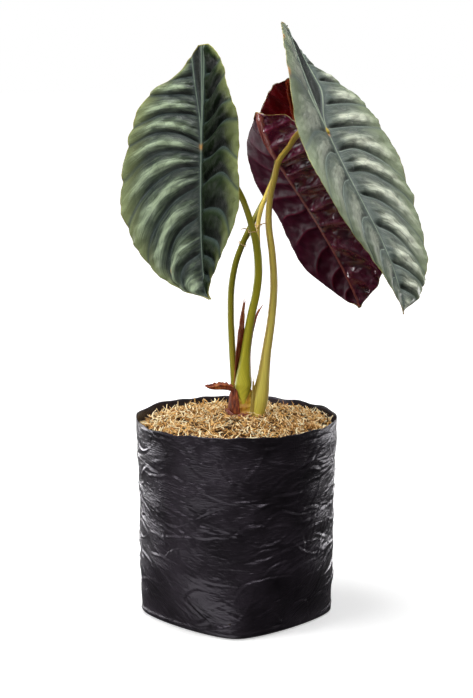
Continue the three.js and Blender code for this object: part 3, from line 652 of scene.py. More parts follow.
def vein_rows(leaf, rho, s, left):
    """Rows down the blade that follow its side veins: between two veins a row stays at the same share
    of the way from one to the next. Returns each point's place down the length, how many veins lie
    above it, and the gap in mm between the two veins around it."""
    row, phase, gap = np.zeros_like(s), np.zeros_like(s), np.zeros_like(s)
    for own, veins in zip((left, ~left), VEINS[leaf["veins"]]):
        lines = np.array([through(VEIN_AT, v, rho[own]) for v in ((0,) * 4, *veins, (1,) * 4)])
        phase[own] = np.interp(s[own], [0, *(v[0] for v in veins), 1], np.arange(len(lines)))
        above = np.minimum(phase[own].astype(int), len(lines) - 2)
        start, end = (np.take_along_axis(lines, above[None] + k, 0)[0] for k in (0, 1))
        row[own] = start + (end - start) * (phase[own] - above)
        gap[own] = (end - start) * leaf["length"]
    return row, phase, gap


def blade_arc(leaf, rho, left, width, base, tip):
    """The arc across each row, as shares of the way out: its slope grows from the midrib to the
    margin, and the flat hub between the basal veins stays level."""
    steps = 12
    fold = [np.where(left, a, b) for a, b in zip(leaf["fold_left"], leaf["fold_right"])]
    inner = fold[0] + fold[2] * base + leaf["tip_fold"] * tip
    outer = fold[1] + fold[3] * base + leaf["tip_fold"] * tip
    behind = base * leaf["petiole"] * leaf["length"]
    hub = behind * math.tan(BASAL_VEIN_ANGLE) / np.maximum(width, 1e-6)
    x, z = np.zeros_like(rho), np.zeros_like(rho)
    for k in range(steps):
        t = rho * (k + 0.5) / steps
        opened = smooth((t - hub * 0.75) / np.maximum(hub * 0.6, 0.08))
        slope = (inner + (outer - inner) * t * t) * opened
        x += np.cos(slope) / steps
        z += np.sin(slope) / steps
    return x, z


def blade_surface(leaf, r, s):
    """The blade's middle surface. r runs over the width from -1 to 1 and s down the length. On the
    arc of each row stand the cushions, one between each two veins: half a sine that climbs to its
    crest and drops from it to the next vein, less dents along its lower flank and a short minor
    vein. Returns the points, the values that the materials read, and places in mm on the skin."""
    rng = np.random.default_rng(leaf["seed"])
    length, petiole = leaf["length"], leaf["petiole"]
    rho, left = np.abs(r), r < 0
    half = left.astype(int)
    row, phase, gap = vein_rows(leaf, rho, s, left)
    keys = ("ribs", "high", "crest", "pit", "minor", "crumple", "lower", "outer", "core")
    pair = {key: np.where(left, *leaf[key]) for key in keys}
    glow, spread = (np.where(left, a, b) for a, b in zip(*leaf["glow"]))
    # panel counts the cushions down the blade, and part is the share of the way through one
    panel = np.minimum(phase.astype(int), np.where(left, *(len(v) for v in VEINS[leaf["veins"]])))
    part = phase - panel
    even = np.abs(np.sin(math.pi * part)) ** 0.8
    scallop = 1 + SCALLOP * (even - 0.6) * rho**2
    sides = [through(STATIONS, [*leaf[key], TIP_WIDTH], row) for key in ("left", "right")]
    pointed = 1 - 0.7 * smooth((row - 0.95) / 0.05)
    width = np.where(left, *sides) * leaf["width"] * scallop * pointed
    base = np.clip((petiole - row) / petiole, 0, 1)
    tip = np.clip((row - petiole) / (1 - petiole), 0, 1)
    x, z = blade_arc(leaf, rho, left, width, base, tip)
    # the channel lies between the midrib and the basal vein
    span = rho * width
    channel_mm = pair["ribs"] * smooth(base / leaf["widen"])
    channel = channel_mm / np.maximum(width, 1e-6)
    beyond = rho - channel
    rise = smooth(beyond / 0.13) * smooth(width / 14)
    fade = rise * (1 - 0.72 * smooth((rho - 0.55) / 0.45))
    near_rib = 1 - smooth((beyond - 0.05) / 0.62)
    drop = np.minimum(part / 0.96, 1)
    crest = pair["crest"]
    climb = np.where(drop < crest, drop / crest, 1 + (drop - crest) / (1 - crest)) / 2
    hump = np.abs(np.sin(math.pi * climb)) ** 0.9
    seed = rng.uniform(0, 2 * math.pi, (2, 2, 12))[:, half, panel]
    place = (span * np.where(left, -1, 1), row * length)
    dents = smooth(0.5 + 0.5 * waves(rng, *place, (13, 9.5, 7.2)))
    pits = np.exp(-(((part - 0.78) / 0.14) ** 2)) * dents * fade * smooth((0.95 - rho) / 0.2)
    middle = 0.5 + 0.06 * np.sin(seed[0])
    minor = np.exp(-(((part - middle) / 0.07) ** 2)) * near_rib**2 * rise
    folds = np.sin(2 * math.pi * (1.7 * part + span / 31) + seed[1]) * even * fade
    crumple = waves(rng, *place, (14, 11, 8.5, 6.5)) * rise * even
    relief = pair["high"] * (hump - 0.45) * fade - pair["pit"] * pits - pair["minor"] * minor
    relief += LOW_FOLDS * folds + pair["crumple"] * crumple
    lines = np.cos(2.5 * math.pi * rho / np.maximum(channel, 0.02)) * (1 - smooth(beyond / 0.05))
    relief += CHANNEL_LINES * lines * smooth(base / 0.3) * smooth(channel_mm / 3)
    ruffle = RUFFLE * rho**4 * np.sin(2 * math.pi * (3.1 * row + np.where(left, 0.2, 0.7)))
    places, across, normal = midrib_frames(leaf)
    f = np.clip(row * FRAMES, 0, FRAMES - 1e-4)
    i = f.astype(int)
    w = (f - i)[..., None]
    at, x_axis, z_axis = ((v[i] * (1 - w) + v[i + 1] * w) for v in (places, across, normal))
    hook = leaf.get("hook", 0) * np.clip((row - 0.965) / 0.035, 0, 1) ** 1.6
    points = at + x_axis * (x * span * np.where(left, -1, 1) + hook)[..., None]
    points += z_axis * (z * span + relief + ruffle)[..., None]
    # distances in mm from the vein above and to the vein ahead
    below = np.where(panel == 0, 99, part * gap)
    ahead = np.where((1 - row) * length < 4, 99, (1 - part) * gap)
    fading = 1.2 * smooth((rho - 0.75) / 0.25) + 3 * (1 - smooth(beyond / 0.05))
    # painted shade: a dark wedge just above each vein near the midrib, where the cushion drops into it
    rib_wedge_shade = np.exp(-(((ahead - 1.5) / 1.3) ** 2)) * near_rib
    core = pair["core"] * (1 - smooth((beyond - 0.04) / 0.18))
    # painted shade on the lower flank of each cushion, the side that faces away from the light above
    lower = pair["lower"] * smooth((part - 0.5) / 0.25) * smooth(ahead / 1.2)
    lower = lower * (1 - smooth((rho - 0.7) / 0.26)) * smooth((beyond - 0.03) / 0.1)
    # how strongly the painted sheen shows: not in the channel, and less towards the margin
    sheen_gain = smooth(beyond / 0.34) * (1 - 0.45 * smooth((rho - 0.75) / 0.2))
    # slate along the veins and, with core, beside the midrib: partly their own colour, partly a painted
    # reflection of the grey room in the sunken valleys
    strip = np.maximum(np.exp(-((below / 1.6) ** 2)), np.exp(-((ahead / 1.1) ** 2)))
    rib = np.minimum(np.abs(span - channel_mm), np.where(base > 0, span + 0.25, 99))
    values = {
        # crest: painted sheen, palest at glow in each panel where the cushion faces the light
        "crest": np.exp(-(((part - glow) / spread) ** 2)) * sheen_gain,
        "vein": np.minimum(below, ahead) + fading,
        "strip": np.maximum(strip * rise, core),
        # painted shade in the creases: the wedges, the lower flanks, the minor veins and the dents
        "shade": np.clip(0.95 * rib_wedge_shade + lower + 0.6 * minor + 0.25 * pits, 0, 1) * rise,
        "rib": rib * (1 + 0.8 * tip),
        # the channel between the basal veins, darkened there as painted shade
        "channel": (1 - smooth(beyond / 0.06)) * smooth(base / 0.15),
        "outer": smooth((rho - pair["outer"]) / 0.46),
        "edge": np.minimum(np.minimum((1 - rho) * width, row * length), (1 - row) * length),
        # which half a point is on, for the painted shade over one half
        "side": np.where(left, 0, 1),
    }
    surface = np.stack([np.where(left, -1, 1) * span, phase * 12], -1)
    return turned(points, leaf["turn"]) + np.array(leaf["at"]), values, surface


def blade(name, key, materials, leaf_sizes):
    """The blade as a closed sheet: its middle surface moved out both ways along the normal, thinner
    towards the margin, with the midrib and the side veins standing out below. The materials are for
    the upper side's left and right half and for the underside's."""
    leaf = LEAVES[key]
    columns, rows = leaf["grid"]
    u = np.linspace(-1, 1, columns)
    r = np.sign(u) * (0.55 * np.abs(u) + 0.45 * np.abs(u) ** 1.6)
    s = np.linspace(0, 1, rows)
    r, s = np.broadcast_to(r, (rows, columns)).copy(), np.repeat(s[:, None], columns, 1)
    middle, values, surface = blade_surface(leaf, r, s)
    normal = unit(np.cross(np.gradient(middle, axis=0), np.gradient(middle, axis=1)))
    half = leaf_sizes.thickness * 500 * (0.45 + 0.55 * smooth(values["edge"] / 3))
    along = np.abs(s - leaf["petiole"]) / 0.7
    keel = leaf_sizes.keel * 1000 * np.clip(1 - 0.85 * along, 0.1, 1)
    rib = keel * np.exp(-((values["rib"] / 1.25) ** 2)) * smooth(values["edge"] / 6)
    vein = 0.45 * np.exp(-((values["vein"] / 0.55) ** 2)) * (1 - np.abs(r))
    top = middle + normal * half[..., None]
    bottom = middle - normal * (half + np.maximum(rib, vein))[..., None]
    points, faces, kinds, inner = shell(top, bottom)
    spot = np.zeros_like(r)
    for place, across, size in leaf.get("spots", ()):
        away = np.hypot((r - across) * leaf["width"], (s - place) * leaf["length"]) / size
        spot = np.maximum(spot, np.exp(-(away**2)))
    values["spot"] = spot
    kinds = kinds * 2 + np.tile(u[:-1] > 0, 2 * (rows - 1))
    values = {k: np.concatenate([v.ravel(), v[inner]]) for k, v in values.items()}
    uv = np.concatenate([surface.reshape(-1, 2), surface[inner]])
    return new_piece(name, points, faces, materials, ["leaf_" + key], values, uv, kinds)


# Petioles and crown


def petiole(name, key, material, slot, shade=(1, 1), sides=24):
    """A round tube along the petiole's path, its radius rippled a little, ending in a round nose
    under the blade; the along attribute runs from foot to blade, and flank marks its two sides, each
    times its share of shade."""
    stations = PETIOLES[key]
    steps = 8 * (len(stations) - 1)
    centre, _, radius = path_points(stations, steps)
    run = np.concatenate([[0], np.cumsum(np.linalg.norm(np.diff(centre, axis=0), axis=1))])
    left_over = (run[-1] - run) / 1.6
    radius = radius * np.sqrt(np.clip(1 - np.clip(1 - left_over, 0, 1) ** 2, 0.05, 1))
    points, faces = tubes(centre[None], radius[None], sides)
    outward = unit(points[0] - centre[:, None])[..., 0]
    # painted shade: darker towards the left and right sides of the stalk, where a round stem falls into
    # shade
    flank = np.where(outward < 0, -outward * shade[0], outward * shade[1])
    along = np.repeat((run / run[-1])[:, None], sides, 1)
    turn = np.arange(sides) / sides
    uv = np.stack([turn[None] * 2 * math.pi * radius[:, None], np.repeat(run[:, None], sides, 1)], -1)
    return new_piece(
        name, points.reshape(-1, 3), faces, [material], ["petiole_" + key],
        {"along": along, "flank": flank}, uv.reshape(-1, 2),
    )


def crown_stem(name, material):
    """The crown stem with its leaf scars as low rings, and the thick roots below it."""
    centre, _, radius = path_points(RHIZOME, 72)
    stem, faces = tubes(centre[None], radius[None], 48)
    angle, z = angles(48), centre[:, 2:]
    rings = 0.35 * np.sin(2 * math.pi * z / 4.3) * (1 + 0.4 * np.sin(2 * angle))
    knots = 0.25 * np.sin(7 * angle + z * 0.9) * np.sin(z * 1.3 + 2 * angle)
    stem = stem[0] + unit(stem[0] - centre[:, None]) * (rings + knots)[..., None]
    roots = []
    for i, a in enumerate(angles(ROOTS) + 0.3):
        reach, depth = 30 + 9 * ((i * 5) % 7) / 6, 66 + 24 * ((i * 3) % 7) / 6
        shares = [(0.05, 112, 2.1), (0.4, 105, 1.9), (0.75, depth + 16, 1.5), (1, depth, 1)]
        stations = [(*polar(reach * d, a, height, CROWN), thick) for d, height, thick in shares]
        roots.append(path_points(stations, 24))
    centres, radii = (np.stack([root[k] for root in roots]) for k in (0, 2))
    root_points, root_faces = tubes(centres, radii, 10, reference=(0, 0, 1))
    points = np.concatenate([stem.reshape(-1, 3), root_points.reshape(-1, 3)])
    faces = [*faces, *(f + stem.size // 3 for f in root_faces)]
    return new_piece(name, points, faces, [material], ["rhizome"])


# Thickness of a dry sheath or scale leaf in mm
PAPER = 0.35

# Scale leaves of the crown: skin, the directions in which they start and end, foot, height, how far
# they flare and stand off in mm, how ragged their edge is and how fast they narrow
SCALES = {
    "scale_left": ("rosy", 2.5, 4.7, 128.5, 9, 1.4, 1.5, 0.6, 0.75),
    "scale_front": ("rosy", 3.9, 5.5, 129, 7, 1.4, 0.8, 0.6, 0.75),
    "scale_right": ("rosy", 5.1, 6.6, 128.5, 6, 1.2, 1.1, 0.6, 0.75),
    "old_sheath": ("decayed", 2.9, 4.5, 134, 15.5, -2.2, 1.0, 1.9, 0.35),
    "torn_sheath": ("young", 5.1, 5.95, 131, 24, -1.2, 1.0, 0.8, 0.75),
}


def scale_leaf(name, material, slot, rng, start, end, low, tall, flare, lift, ragged, narrow):
    """A scale leaf hugging the crown: part of a cone that flares upwards, narrowing to a torn, blunt
    point, as a thin closed sheet."""
    rows, columns = 26, 44
    v, u = np.mgrid[0 : 1 : rows * 1j, 0 : 1 : columns * 1j]
    angle = start + (end - start) * (u + (0.5 - u) * narrow * v * v)
    torn = 1 + 0.1 * ragged * waves(rng, u * 30, v * 0, (11, 6, 3.4))
    radius = CROWN_RADIUS + flare * v * v + lift + 0.25 * waves(rng, u * 20, v * 14, (9, 5)) * v
    z = low + tall * v * (1 - 0.25 * np.abs(2 * u - 1)) * torn
    return thin_sheet(name, polar(radius, angle, z, CROWN), PAPER, material)


def thin_sheet(name, middle, thickness, material, replaces=()):
    """A closed sheet of that thickness round a grid, thinner at its border."""
    normal = unit(np.cross(np.gradient(middle, axis=1), np.gradient(middle, axis=0)))
    points, faces, _, _ = shell(middle + normal * thickness / 2, middle - normal * thickness / 2)
    return new_piece(name, points, faces, [material], replaces)


def front_sheath(name, material):
    """The papery sheath half round the back of the front petiole: a sleeve whose top edge runs up
    to two points, torn in fine teeth."""
    rng = np.random.default_rng(17)
    stations = np.asarray(PETIOLES["left"], float)
    rows, columns = 60, 61
    v, u = np.mgrid[0 : 1 : rows * 1j, -1 : 1 : columns * 1j]
    peak = np.maximum(np.maximum(1.05 - np.abs(u + 0.7) * 0.7, 0.92 - np.abs(u - 0.68) ** 1.4), 0.3)
    peak = peak * (1 + 0.035 * waves(rng, u * 30, v * 0, (9, 5, 2.7)))
    z = 149 + 59 * peak * v
    angle = math.pi * (0.5 - np.where(u < 0, 0.56, 0.4) * u)
    x, y, thick = (through(stations[:, 2], stations[:, k], z) for k in (0, 1, 3))
    loose = 5.7 + 1.3 * v * v * peak + 0.22 * waves(rng, u * 16, v * 30, (8, 5)) * v
    snug = thick + 0.4 + 8 * (v * peak) ** 8
    radius = loose + (snug - loose) * smooth((u + 0.1) / 0.5)
    return thin_sheet(name, polar(radius, angle, z, (x, y)), PAPER, material, ["cataphyll"])


def dry_sheath(name, material):
    """The dry end of an old sheath: a strip that runs out to the left, widest near its middle,
    with a torn upper edge."""
    rng = np.random.default_rng(23)
    v, u = np.mgrid[0 : 1 : 60 * 1j, -1 : 1 : 17 * 1j]
    torn = 1 + 0.16 * waves(rng, v * 40, u * 0, (13, 6, 3.2)) * (u > 0)
    x = -2.2 - 18.2 * v
    y = -4.2 - 1.2 * np.sin(3 * v) + 0.9 * u * u + 0.25 * waves(rng, v * 20, u * 5, (7, 4))
    z = 150.4 + 2.6 * v + 0.8 * np.sin(5 * v) + u * 2.9 * (1 - v**4) * (0.7 + 0.3 * v) * torn
    return thin_sheet(name, np.stack([x, y, z], -1), 0.4, material, ["dry_sheath"])


def raffia(name, material):
    """Fibre ends caught where the petioles cross: three rings and four short strands, each a thin
    tube with small kinks."""
    rng = np.random.default_rng(29)
    steps = 30
    t = np.linspace(0, 1, steps)
    centres = []
    for (x, y, z), radius, (lean, side) in (
        ((10.5, -9, 253), 2.75, (0.15, -0.16)),
        ((13.7, 3, 255.6), 2.1, (0.1, 0.1)),
        ((3.9, 8, 242.6), 2.5, (0.2, 0.42)),
    ):
        a = 2 * math.pi * t * 1.04
        ring = polar(radius, a, 0.25 * np.sin(3 * a))
        centres.append(turned(ring, (0, lean, side)) + np.array([x, y, z]))
    for ends in (
        [(11.8, -6, 253.4), (13, -3, 254.6), (13.4, 0.8, 255.6)],
        [(5, 10.4, 243), (9.5, 9.4, 249), (13.2, 5.4, 255.6)],
        [(8.2, -11, 253.5), (5.4, -12, 255), (2.6, -12, 254.6)],
        [(15, 1, 255.9), (17.4, 0.4, 256.8), (18.9, 3.5, 256.6)],
    ):
        stations = [(*p, 0.3) for p in ends]
        centres.append(path_points(stations, steps - 1)[0])
    centres = np.stack(centres)
    kink = rng.normal(0, 0.12, centres.shape)
    kink[:, [0, -1]] = 0
    radii = np.full(centres.shape[:2], 0.32) * (1 - 0.5 * t**4)
    points, faces = tubes(centres + kink, radii, 6, reference=(0.1, 0.2, 1))
    return new_piece(name, points.reshape(-1, 3), faces, [material], ["tie"])


# Mulch


def mulch_height(x, y):
    """The top of the mulch bed: a low dome with two crossing swells that dips at the wall, most of
    all at the back on the left."""
    d = np.hypot(x, y) / MEAN_RADIUS
    bumps = np.sin(x * 0.21 + 1.3 * np.sin(y * 0.13)) * np.cos(y * 0.24 + x * 0.05)
    dip = smooth((d - 0.8) / 0.2) * (1.5 + np.clip(y - x, -40, 60) / 60)
    return MULCH_EDGE + MULCH_RISE * (1 - d * d) + 0.55 * bumps - dip


def bag_radius(angle, z):
    """Radius of the bag's outside: a superellipse whose exponent goes from a rounded diamond at the
    foot to a circle, a little wider at the rim; a small sum under each root rounds its corners."""
    exponent = FOOT_EXPONENT + (2 - FOOT_EXPONENT) * smooth((z - 4) / 40)
    size = CORNER_RADIUS + (WAIST_RADIUS - CORNER_RADIUS) * smooth((z - 2) / 45)
    size = size + (RIM_RADIUS - WAIST_RADIUS) * smooth((z - 70) / 62)
    c, s = np.sqrt(np.cos(angle) ** 2 + 0.012), np.sqrt(np.sin(angle) ** 2 + 0.002)
    return 1.006 * size / (c**exponent + s**exponent) ** (1 / exponent)


def mulch_bed(name, material):
    """The bed under the loose strands: rings from the wall to the middle, raised by a crumbly
    noise, over a plain underside."""
    rng = np.random.default_rng(31)
    count = 220
    angle = angles(count)
    share = np.linspace(1, 0.02, 62)[:, None]
    wall = bag_radius(angle, 126) - 1.75
    x, y = share * wall * np.cos(angle), share * wall * np.sin(angle)
    z = mulch_height(x, y) - 1.1 * smooth((share - 0.93) / 0.07)
    z = z + 0.28 * waves(rng, x, y, (7.1, 5.3, 4.1, 3.3, 2.6, 2.2)) - 0.5
    top = np.stack([x, y, z], -1)
    low = np.stack([x[0], y[0], np.full(count, SOIL_TOP + 0.35)], -1)
    points = np.concatenate([low[None], top]).reshape(-1, 3)
    rows = len(share) + 1
    faces = [grid_faces(rows, count, wrap=True), end_caps(rows, count)]
    # the bed takes the darkest tone: painted shade under the loose strands
    tone = np.clip(0.06 * waves(rng, points[:, 0], points[:, 1], (9, 5, 3)), 0, 1)
    return new_piece(name, points, faces, [material], ["mulch"], {"tone": tone})


# Layers of strands: share of the count, seed, length, width and lift in mm, how far the strands
# tilt, and their tone and its spread; the lowest layer is darkest, as painted shade between the strands
LAYERS = {
    "mulch_lower": (0.75, 43, (5, 13), (0.8, 1.4), (-0.8, 0.2), 0.2, (0.1, 0.16)),
    "mulch_middle": (1, 47, (4, 12), (0.7, 1.4), (-0.2, 1.6), 0.5, (0.52, 0.22)),
    "mulch_upper": (1, 53, (3, 10), (0.8, 1.4), (0.3, 2.6), 0.9, (0.86, 0.16)),
}


def mulch_strands(name, material, slot, count, seed, length, width, lift, upright, tones):
    """Loose strands on the bed. Each is an arc of random bow, heading and tilt, with its ends curled
    up or down, kept inside the bag and off the crown."""
    rng = np.random.default_rng(seed)
    steps = 6
    t = np.linspace(-1, 1, steps)[None]
    place = rng.uniform(0, 2 * math.pi, count)
    reach = (MEAN_RADIUS - 1.5) * np.sqrt(rng.uniform(0, 1, count))
    heading, bow = rng.uniform(0, 2 * math.pi, count), rng.normal(0, 1.3, count)
    half = rng.uniform(*length, count) / 2
    turn = heading[:, None] + bow[:, None] * t
    step = (2 * half / (steps - 1))[:, None]
    x = np.cumsum(np.cos(turn) * step, 1)
    y = np.cumsum(np.sin(turn) * step, 1)
    x += (reach * np.cos(place))[:, None] - x.mean(1, keepdims=True)
    y += (reach * np.sin(place))[:, None] - y.mean(1, keepdims=True)
    off = np.stack([x - CROWN[0], y - CROWN[1]], -1)
    gap = np.linalg.norm(off, axis=-1, keepdims=True)
    off = off * np.maximum(1, (CROWN_RADIUS + 1.5) / np.maximum(gap, 1e-3))
    x, y = off[..., 0] + CROWN[0], off[..., 1] + CROWN[1]
    limit = bag_radius(np.arctan2(y, x), 128) - 2.2
    shrink = np.minimum(1, limit / np.hypot(x, y))
    x, y = x * shrink, y * shrink
    tilt = rng.normal(0, 1, count) * upright
    curl = rng.normal(0, 0.9, (count, 2))
    z = mulch_height(x, y) + rng.uniform(*lift, count)[:, None]
    z = z + half[:, None] * 0.5 * tilt[:, None] * t + curl[:, :1] * t**2 + curl[:, 1:] * t**3
    z = np.clip(z, mulch_height(x, y) - 1.2, mulch_height(x, y) + 6.5)
    centres = np.stack([x, y, z], -1)
    thick = rng.uniform(*width, count)[:, None] / 2 * (1 - 0.55 * t**2)
    points, faces = tubes(centres, thick, 4, flat=0.6, reference=(0.03, 0.05, 1))
    tone = np.repeat(np.clip(rng.normal(*tones, count), 0, 1), steps * 4)
    return new_piece(name, points.reshape(-1, 3), faces, [material], ["mulch"], {"tone": tone})


# Grow bag


def bag_folds(angle, z):
    """The slow waves of the film, as in the frame's solid."""
    band = np.sin(3 * angle + z * 0.045) * np.sin(z * 0.31 + 1.7 * np.sin(2 * angle))
    slant = np.sin(7 * angle - z * 0.09 + 0.8) * np.sin(z * 0.13 + angle)
    return 0.32 * band + 0.25 * slant


def bag_creases(angle, z, count, depth):
    """Sharp creases: each is a short bowed ridge with a furrow beside it, fading to its ends. They
    run round the bag at the front and steepen towards its flanks."""
    rng = np.random.default_rng(37)
    total = np.zeros_like(z)
    for _ in range(count):
        a0, z0 = rng.uniform(-math.pi, math.pi), rng.uniform(3, 130)
        side, front = math.cos(a0), -math.sin(a0)
        steep = rng.normal(0, 0.35)
        steep += side * (0.9 if z0 < 75 else 0.45) * rng.uniform(0.2, 1) * np.sign(front or 1)
        length, width = rng.uniform(4, 14), rng.uniform(0.7, 1.3)
        height = depth * 1000 * rng.uniform(0.35, 1) * rng.choice([1, 1, -1])
        bow = rng.normal(0, 0.02)
        u = MEAN_RADIUS * ((angle - a0 + math.pi) % (2 * math.pi) - math.pi)
        v = z - z0
        near = (np.abs(u) < 2.5 * length) & (np.abs(v) < 2.5 * length)
        u, v = u[near], v[near]
        along = u * math.cos(steep) + v * math.sin(steep)
        across = (v * math.cos(steep) - u * math.sin(steep) - bow * along**2) / width
        ridge = np.exp(-(across**2)) - 0.7 * np.exp(-((across - 1.7) ** 2))
        total[near] += height * ridge * np.exp(-((along / length) ** 2))
    return total


def grow_bag(name, material, sizes):
    """The film bag as one closed skin: up the outside with its folds and creases, over the wavy rim,
    down the inside and across the floor."""
    rng = np.random.default_rng(41)
    count = 384
    angle = angles(count)
    z = np.repeat(np.concatenate([[2.2], np.linspace(2.9, BAG_TOP, 215)])[:, None], count, 1)
    around = np.broadcast_to(angle, z.shape)
    fade = smooth((BAG_TOP + 2 - z) / 12) * smooth(z / 12)
    rim_fade = (0.35 + 0.65 * smooth((BAG_TOP - z) / 5)) * smooth((z - 2) / 4)
    crease = bag_creases(around, z, sizes.crease_count, sizes.crease_depth) * rim_fade
    seam = 0.45 * np.exp(-(((z - 3.4) / 0.8) ** 2)) * smooth(0.3 - 1.5 * np.cos(angle - SEAM_END))
    outer = bag_radius(around, z) + bag_folds(around, z) * fade + crease + seam
    circle = MEAN_RADIUS * np.cos(angle), MEAN_RADIUS * np.sin(angle)
    wave = sizes.rim_wave * 1000 * waves(rng, *circle, (61, 37, 23, 15))
    z = z - smooth((z - BAG_TOP + 8) / 8) * (0.6 + 0.5 * wave)
    # the rounded edge of the foot: heights, and how far each lies inside the wall
    foot = [(0.0, -2.6), (0.35, -1.5), (0.9, -0.8), (1.5, -0.3)]
    low_z = np.array([[h] * count for h, _ in foot])
    low_r = np.array([bag_radius(angle, h) + d for h, d in foot])
    # the inside, from the rim down to the floor, and the film's thickness there
    levels = [BAG_TOP - 0.4, BAG_TOP - 2, BAG_TOP - 5, 124, 118, 108, 85, 60, 38, 24, 12, 1.6]
    inset = np.array([0.45, 0.55, 0.8, 1.3] + [1.4] * 8)[:, None]
    flat = np.repeat(np.array(levels)[:, None], count, 1)
    in_z = flat + (z[-1] - BAG_TOP) * smooth((flat - BAG_TOP + 8) / 8)
    rim_shift = (outer[-1] - bag_radius(angle, BAG_TOP)) * smooth((flat - 118) / 12)
    crumple = waves(rng, MEAN_RADIUS * around[: len(flat)], in_z, (9, 6, 4.5))
    crumple = 0.35 * crumple * smooth((flat - 116) / 6) * smooth((BAG_TOP - flat) / 3)
    in_r = bag_radius(angle, flat) - inset + rim_shift + crumple
    radius = np.concatenate([low_r, outer, in_r])
    height = np.concatenate([low_z, z, in_z])
    rows = len(radius)
    around = np.broadcast_to(angle, radius.shape)
    points = polar(radius, around, height).reshape(-1, 3)
    # places on the skin, counted from the back, with the crinkles' level falling to the right
    round_back = (around - math.pi / 2) % (2 * math.pi)
    lean = 30 * np.sin(angle) * (1.3 - smooth(height / 90))
    surface = np.stack([MEAN_RADIUS * round_back, height - lean], -1).reshape(-1, 2)
    faces = [grid_faces(rows, count, wrap=True), end_caps(rows, count)]
    return new_piece(name, points, faces, [material], ["grow_bag"], uv=surface)


# Stage


# Softboxes: place, target and size in metres, which power lights them and what share of it
LIGHTS = {
    "overhead": ((-0.35, -0.1, 1.7), (0, 0, 0.2), (1.0, 1.0), "top_power", 1),
    "left": ((-1.3, -1.0, 0.95), (0, 0, 0.25), (0.8, 0.8), "left_power", 1),
    "front": ((0.25, -1.3, 1.35), (0, 0, 0.25), (0.8, 0.8), "front_power", 1),
    "right": ((0.95, 0.35, 1.15), (0.06, 0, 0.3), (0.5, 0.5), "right_power", 1),
    "back_left": ((-1.3, 0.95, 0.05), (0, 0, 0.08), (1.6, 0.3), "back_power", 1),
    "back_right": ((1.3, 1.1, 0.05), (0, 0, 0.08), (1.4, 0.3), "back_power", 0.7),
    "table_bounce": ((-0.45, -0.5, -0.7), (0.05, 0, 0.25), (0.9, 0.9), "table_power", 1),
}


# The camera: place in metres, tilt up from straight down in degrees, lens and sensor width in mm
CAMERA = ((0, -1.3, 0.413), 79.65, 105.9, 36)


def aimed(name, place, target, size, power):
    """A white softbox at place, in metres, turned to face target; size is its width and height."""
    data = bpy.data.lights.new(name, "AREA")
    data.shape, data.size, data.size_y, data.energy = "RECTANGLE", *size, power
    lamp = bpy.data.objects.new(name, data)
    lamp.location = place
    lamp.rotation_euler = (Vector(target) - Vector(place)).to_track_quat("-Z", "Y").to_euler()
    bpy.context.scene.collection.objects.link(lamp)


def studio_world(stage):
    """The unlit part of the room: a dim grey above, dark towards the floor, from which only the
    softboxes stand out."""
    world = bpy.data.worlds.new("dim_room")
    bpy.context.scene.world = world
    world.use_nodes = True
    tree = world.node_tree
    tree.nodes.clear()
    heading = node(tree, "TexCoord").outputs["Generated"]
    height = node(tree, "SeparateXYZ", {"Vector": heading})
    inputs = {"Value": height.outputs["Z"], "From Min": -0.2, "From Max": 0.6, "To Min": 0.03}
    strength = node(tree, "MapRange", inputs | {"To Max": stage.room_light})
    sky = node(tree, "Background", {"Color": (1, 1, 1, 1), "Strength": strength})
    tree.links.new(sky.outputs[0], node(tree, "OutputWorld").inputs[0])


def backdrop(name, points, faces, material):
    """A stage piece that only the camera sees, so that its white doesn't fog the dark leaves and the
    bounce light can shine up through it."""
    mesh = bpy.data.meshes.new(name)
    mesh.from_pydata(points, [], faces)
    mesh.materials.append(material)
    made = bpy.data.objects.new(name, mesh)
    bpy.context.scene.collection.objects.link(made)
    made.visible_diffuse = made.visible_glossy = False
    made.visible_transmission = made.visible_shadow = False


def studio_table(stage):
    """A pale table with a faint gloss, lit from within so that it reads as white, more so away from
    the pot, inside a white wall that runs all round it."""
    made, tree, out = new_material("white_table")
    place = node(tree, "TexCoord").outputs["Object"]
    away = node(tree, "VectorMath", {"Vector": place}, operation="LENGTH")
    inputs = {"Value": away.outputs["Value"], "From Min": 0.25, "From Max": 1.6}
    glow = node(tree, "MapRange", inputs | {"To Min": stage.floor_glow, "To Max": 1.0})
    inputs = {"Base Color": stage.floor, "Roughness": 0.3, "Specular IOR Level": 0.4}
    inputs |= {"Emission Color": (1, 1, 1, 1), "Emission Strength": glow}
    tree.links.new(node(tree, "BsdfPrincipled", inputs).outputs[0], out.inputs[0])
    wall, tree, out = new_material("white_wall")
    tree.links.new(node(tree, "Emission", {"Strength": 1.0}).outputs[0], out.inputs[0])
    count = 64
    rings = ((6, -0.0003), (6, 8), (0.06, 9))
    level = [polar(radius, angles(count), np.full(count, height)) for radius, height in rings]
    backdrop("table", level[0], [list(range(count))], made)
    backdrop("wall", np.concatenate(level), grid_faces(3, count, wrap=True).tolist(), wall)


# What a user would change


def hue(name, value):
    """A colour property from a hex colour."""
    return bpy.props.FloatVectorProperty(
        name=name, description=f"Colour: {name.lower()}", subtype="COLOR", size=4, min=0, max=1,
        default=linear(value),
    )


def length_of(name, description, mm):
    """A length property, in metres in Blender, from millimetres."""
    return bpy.props.FloatProperty(name=name, description=description, default=mm / 1000, unit="LENGTH")


def amount(name, description, value):
    """A plain number property."""
    return bpy.props.FloatProperty(name=name, description=description, default=value)


def power(name, description, watts):
    """The power of a light."""
    return bpy.props.FloatProperty(name=name, description=description, default=watts, unit="POWER")


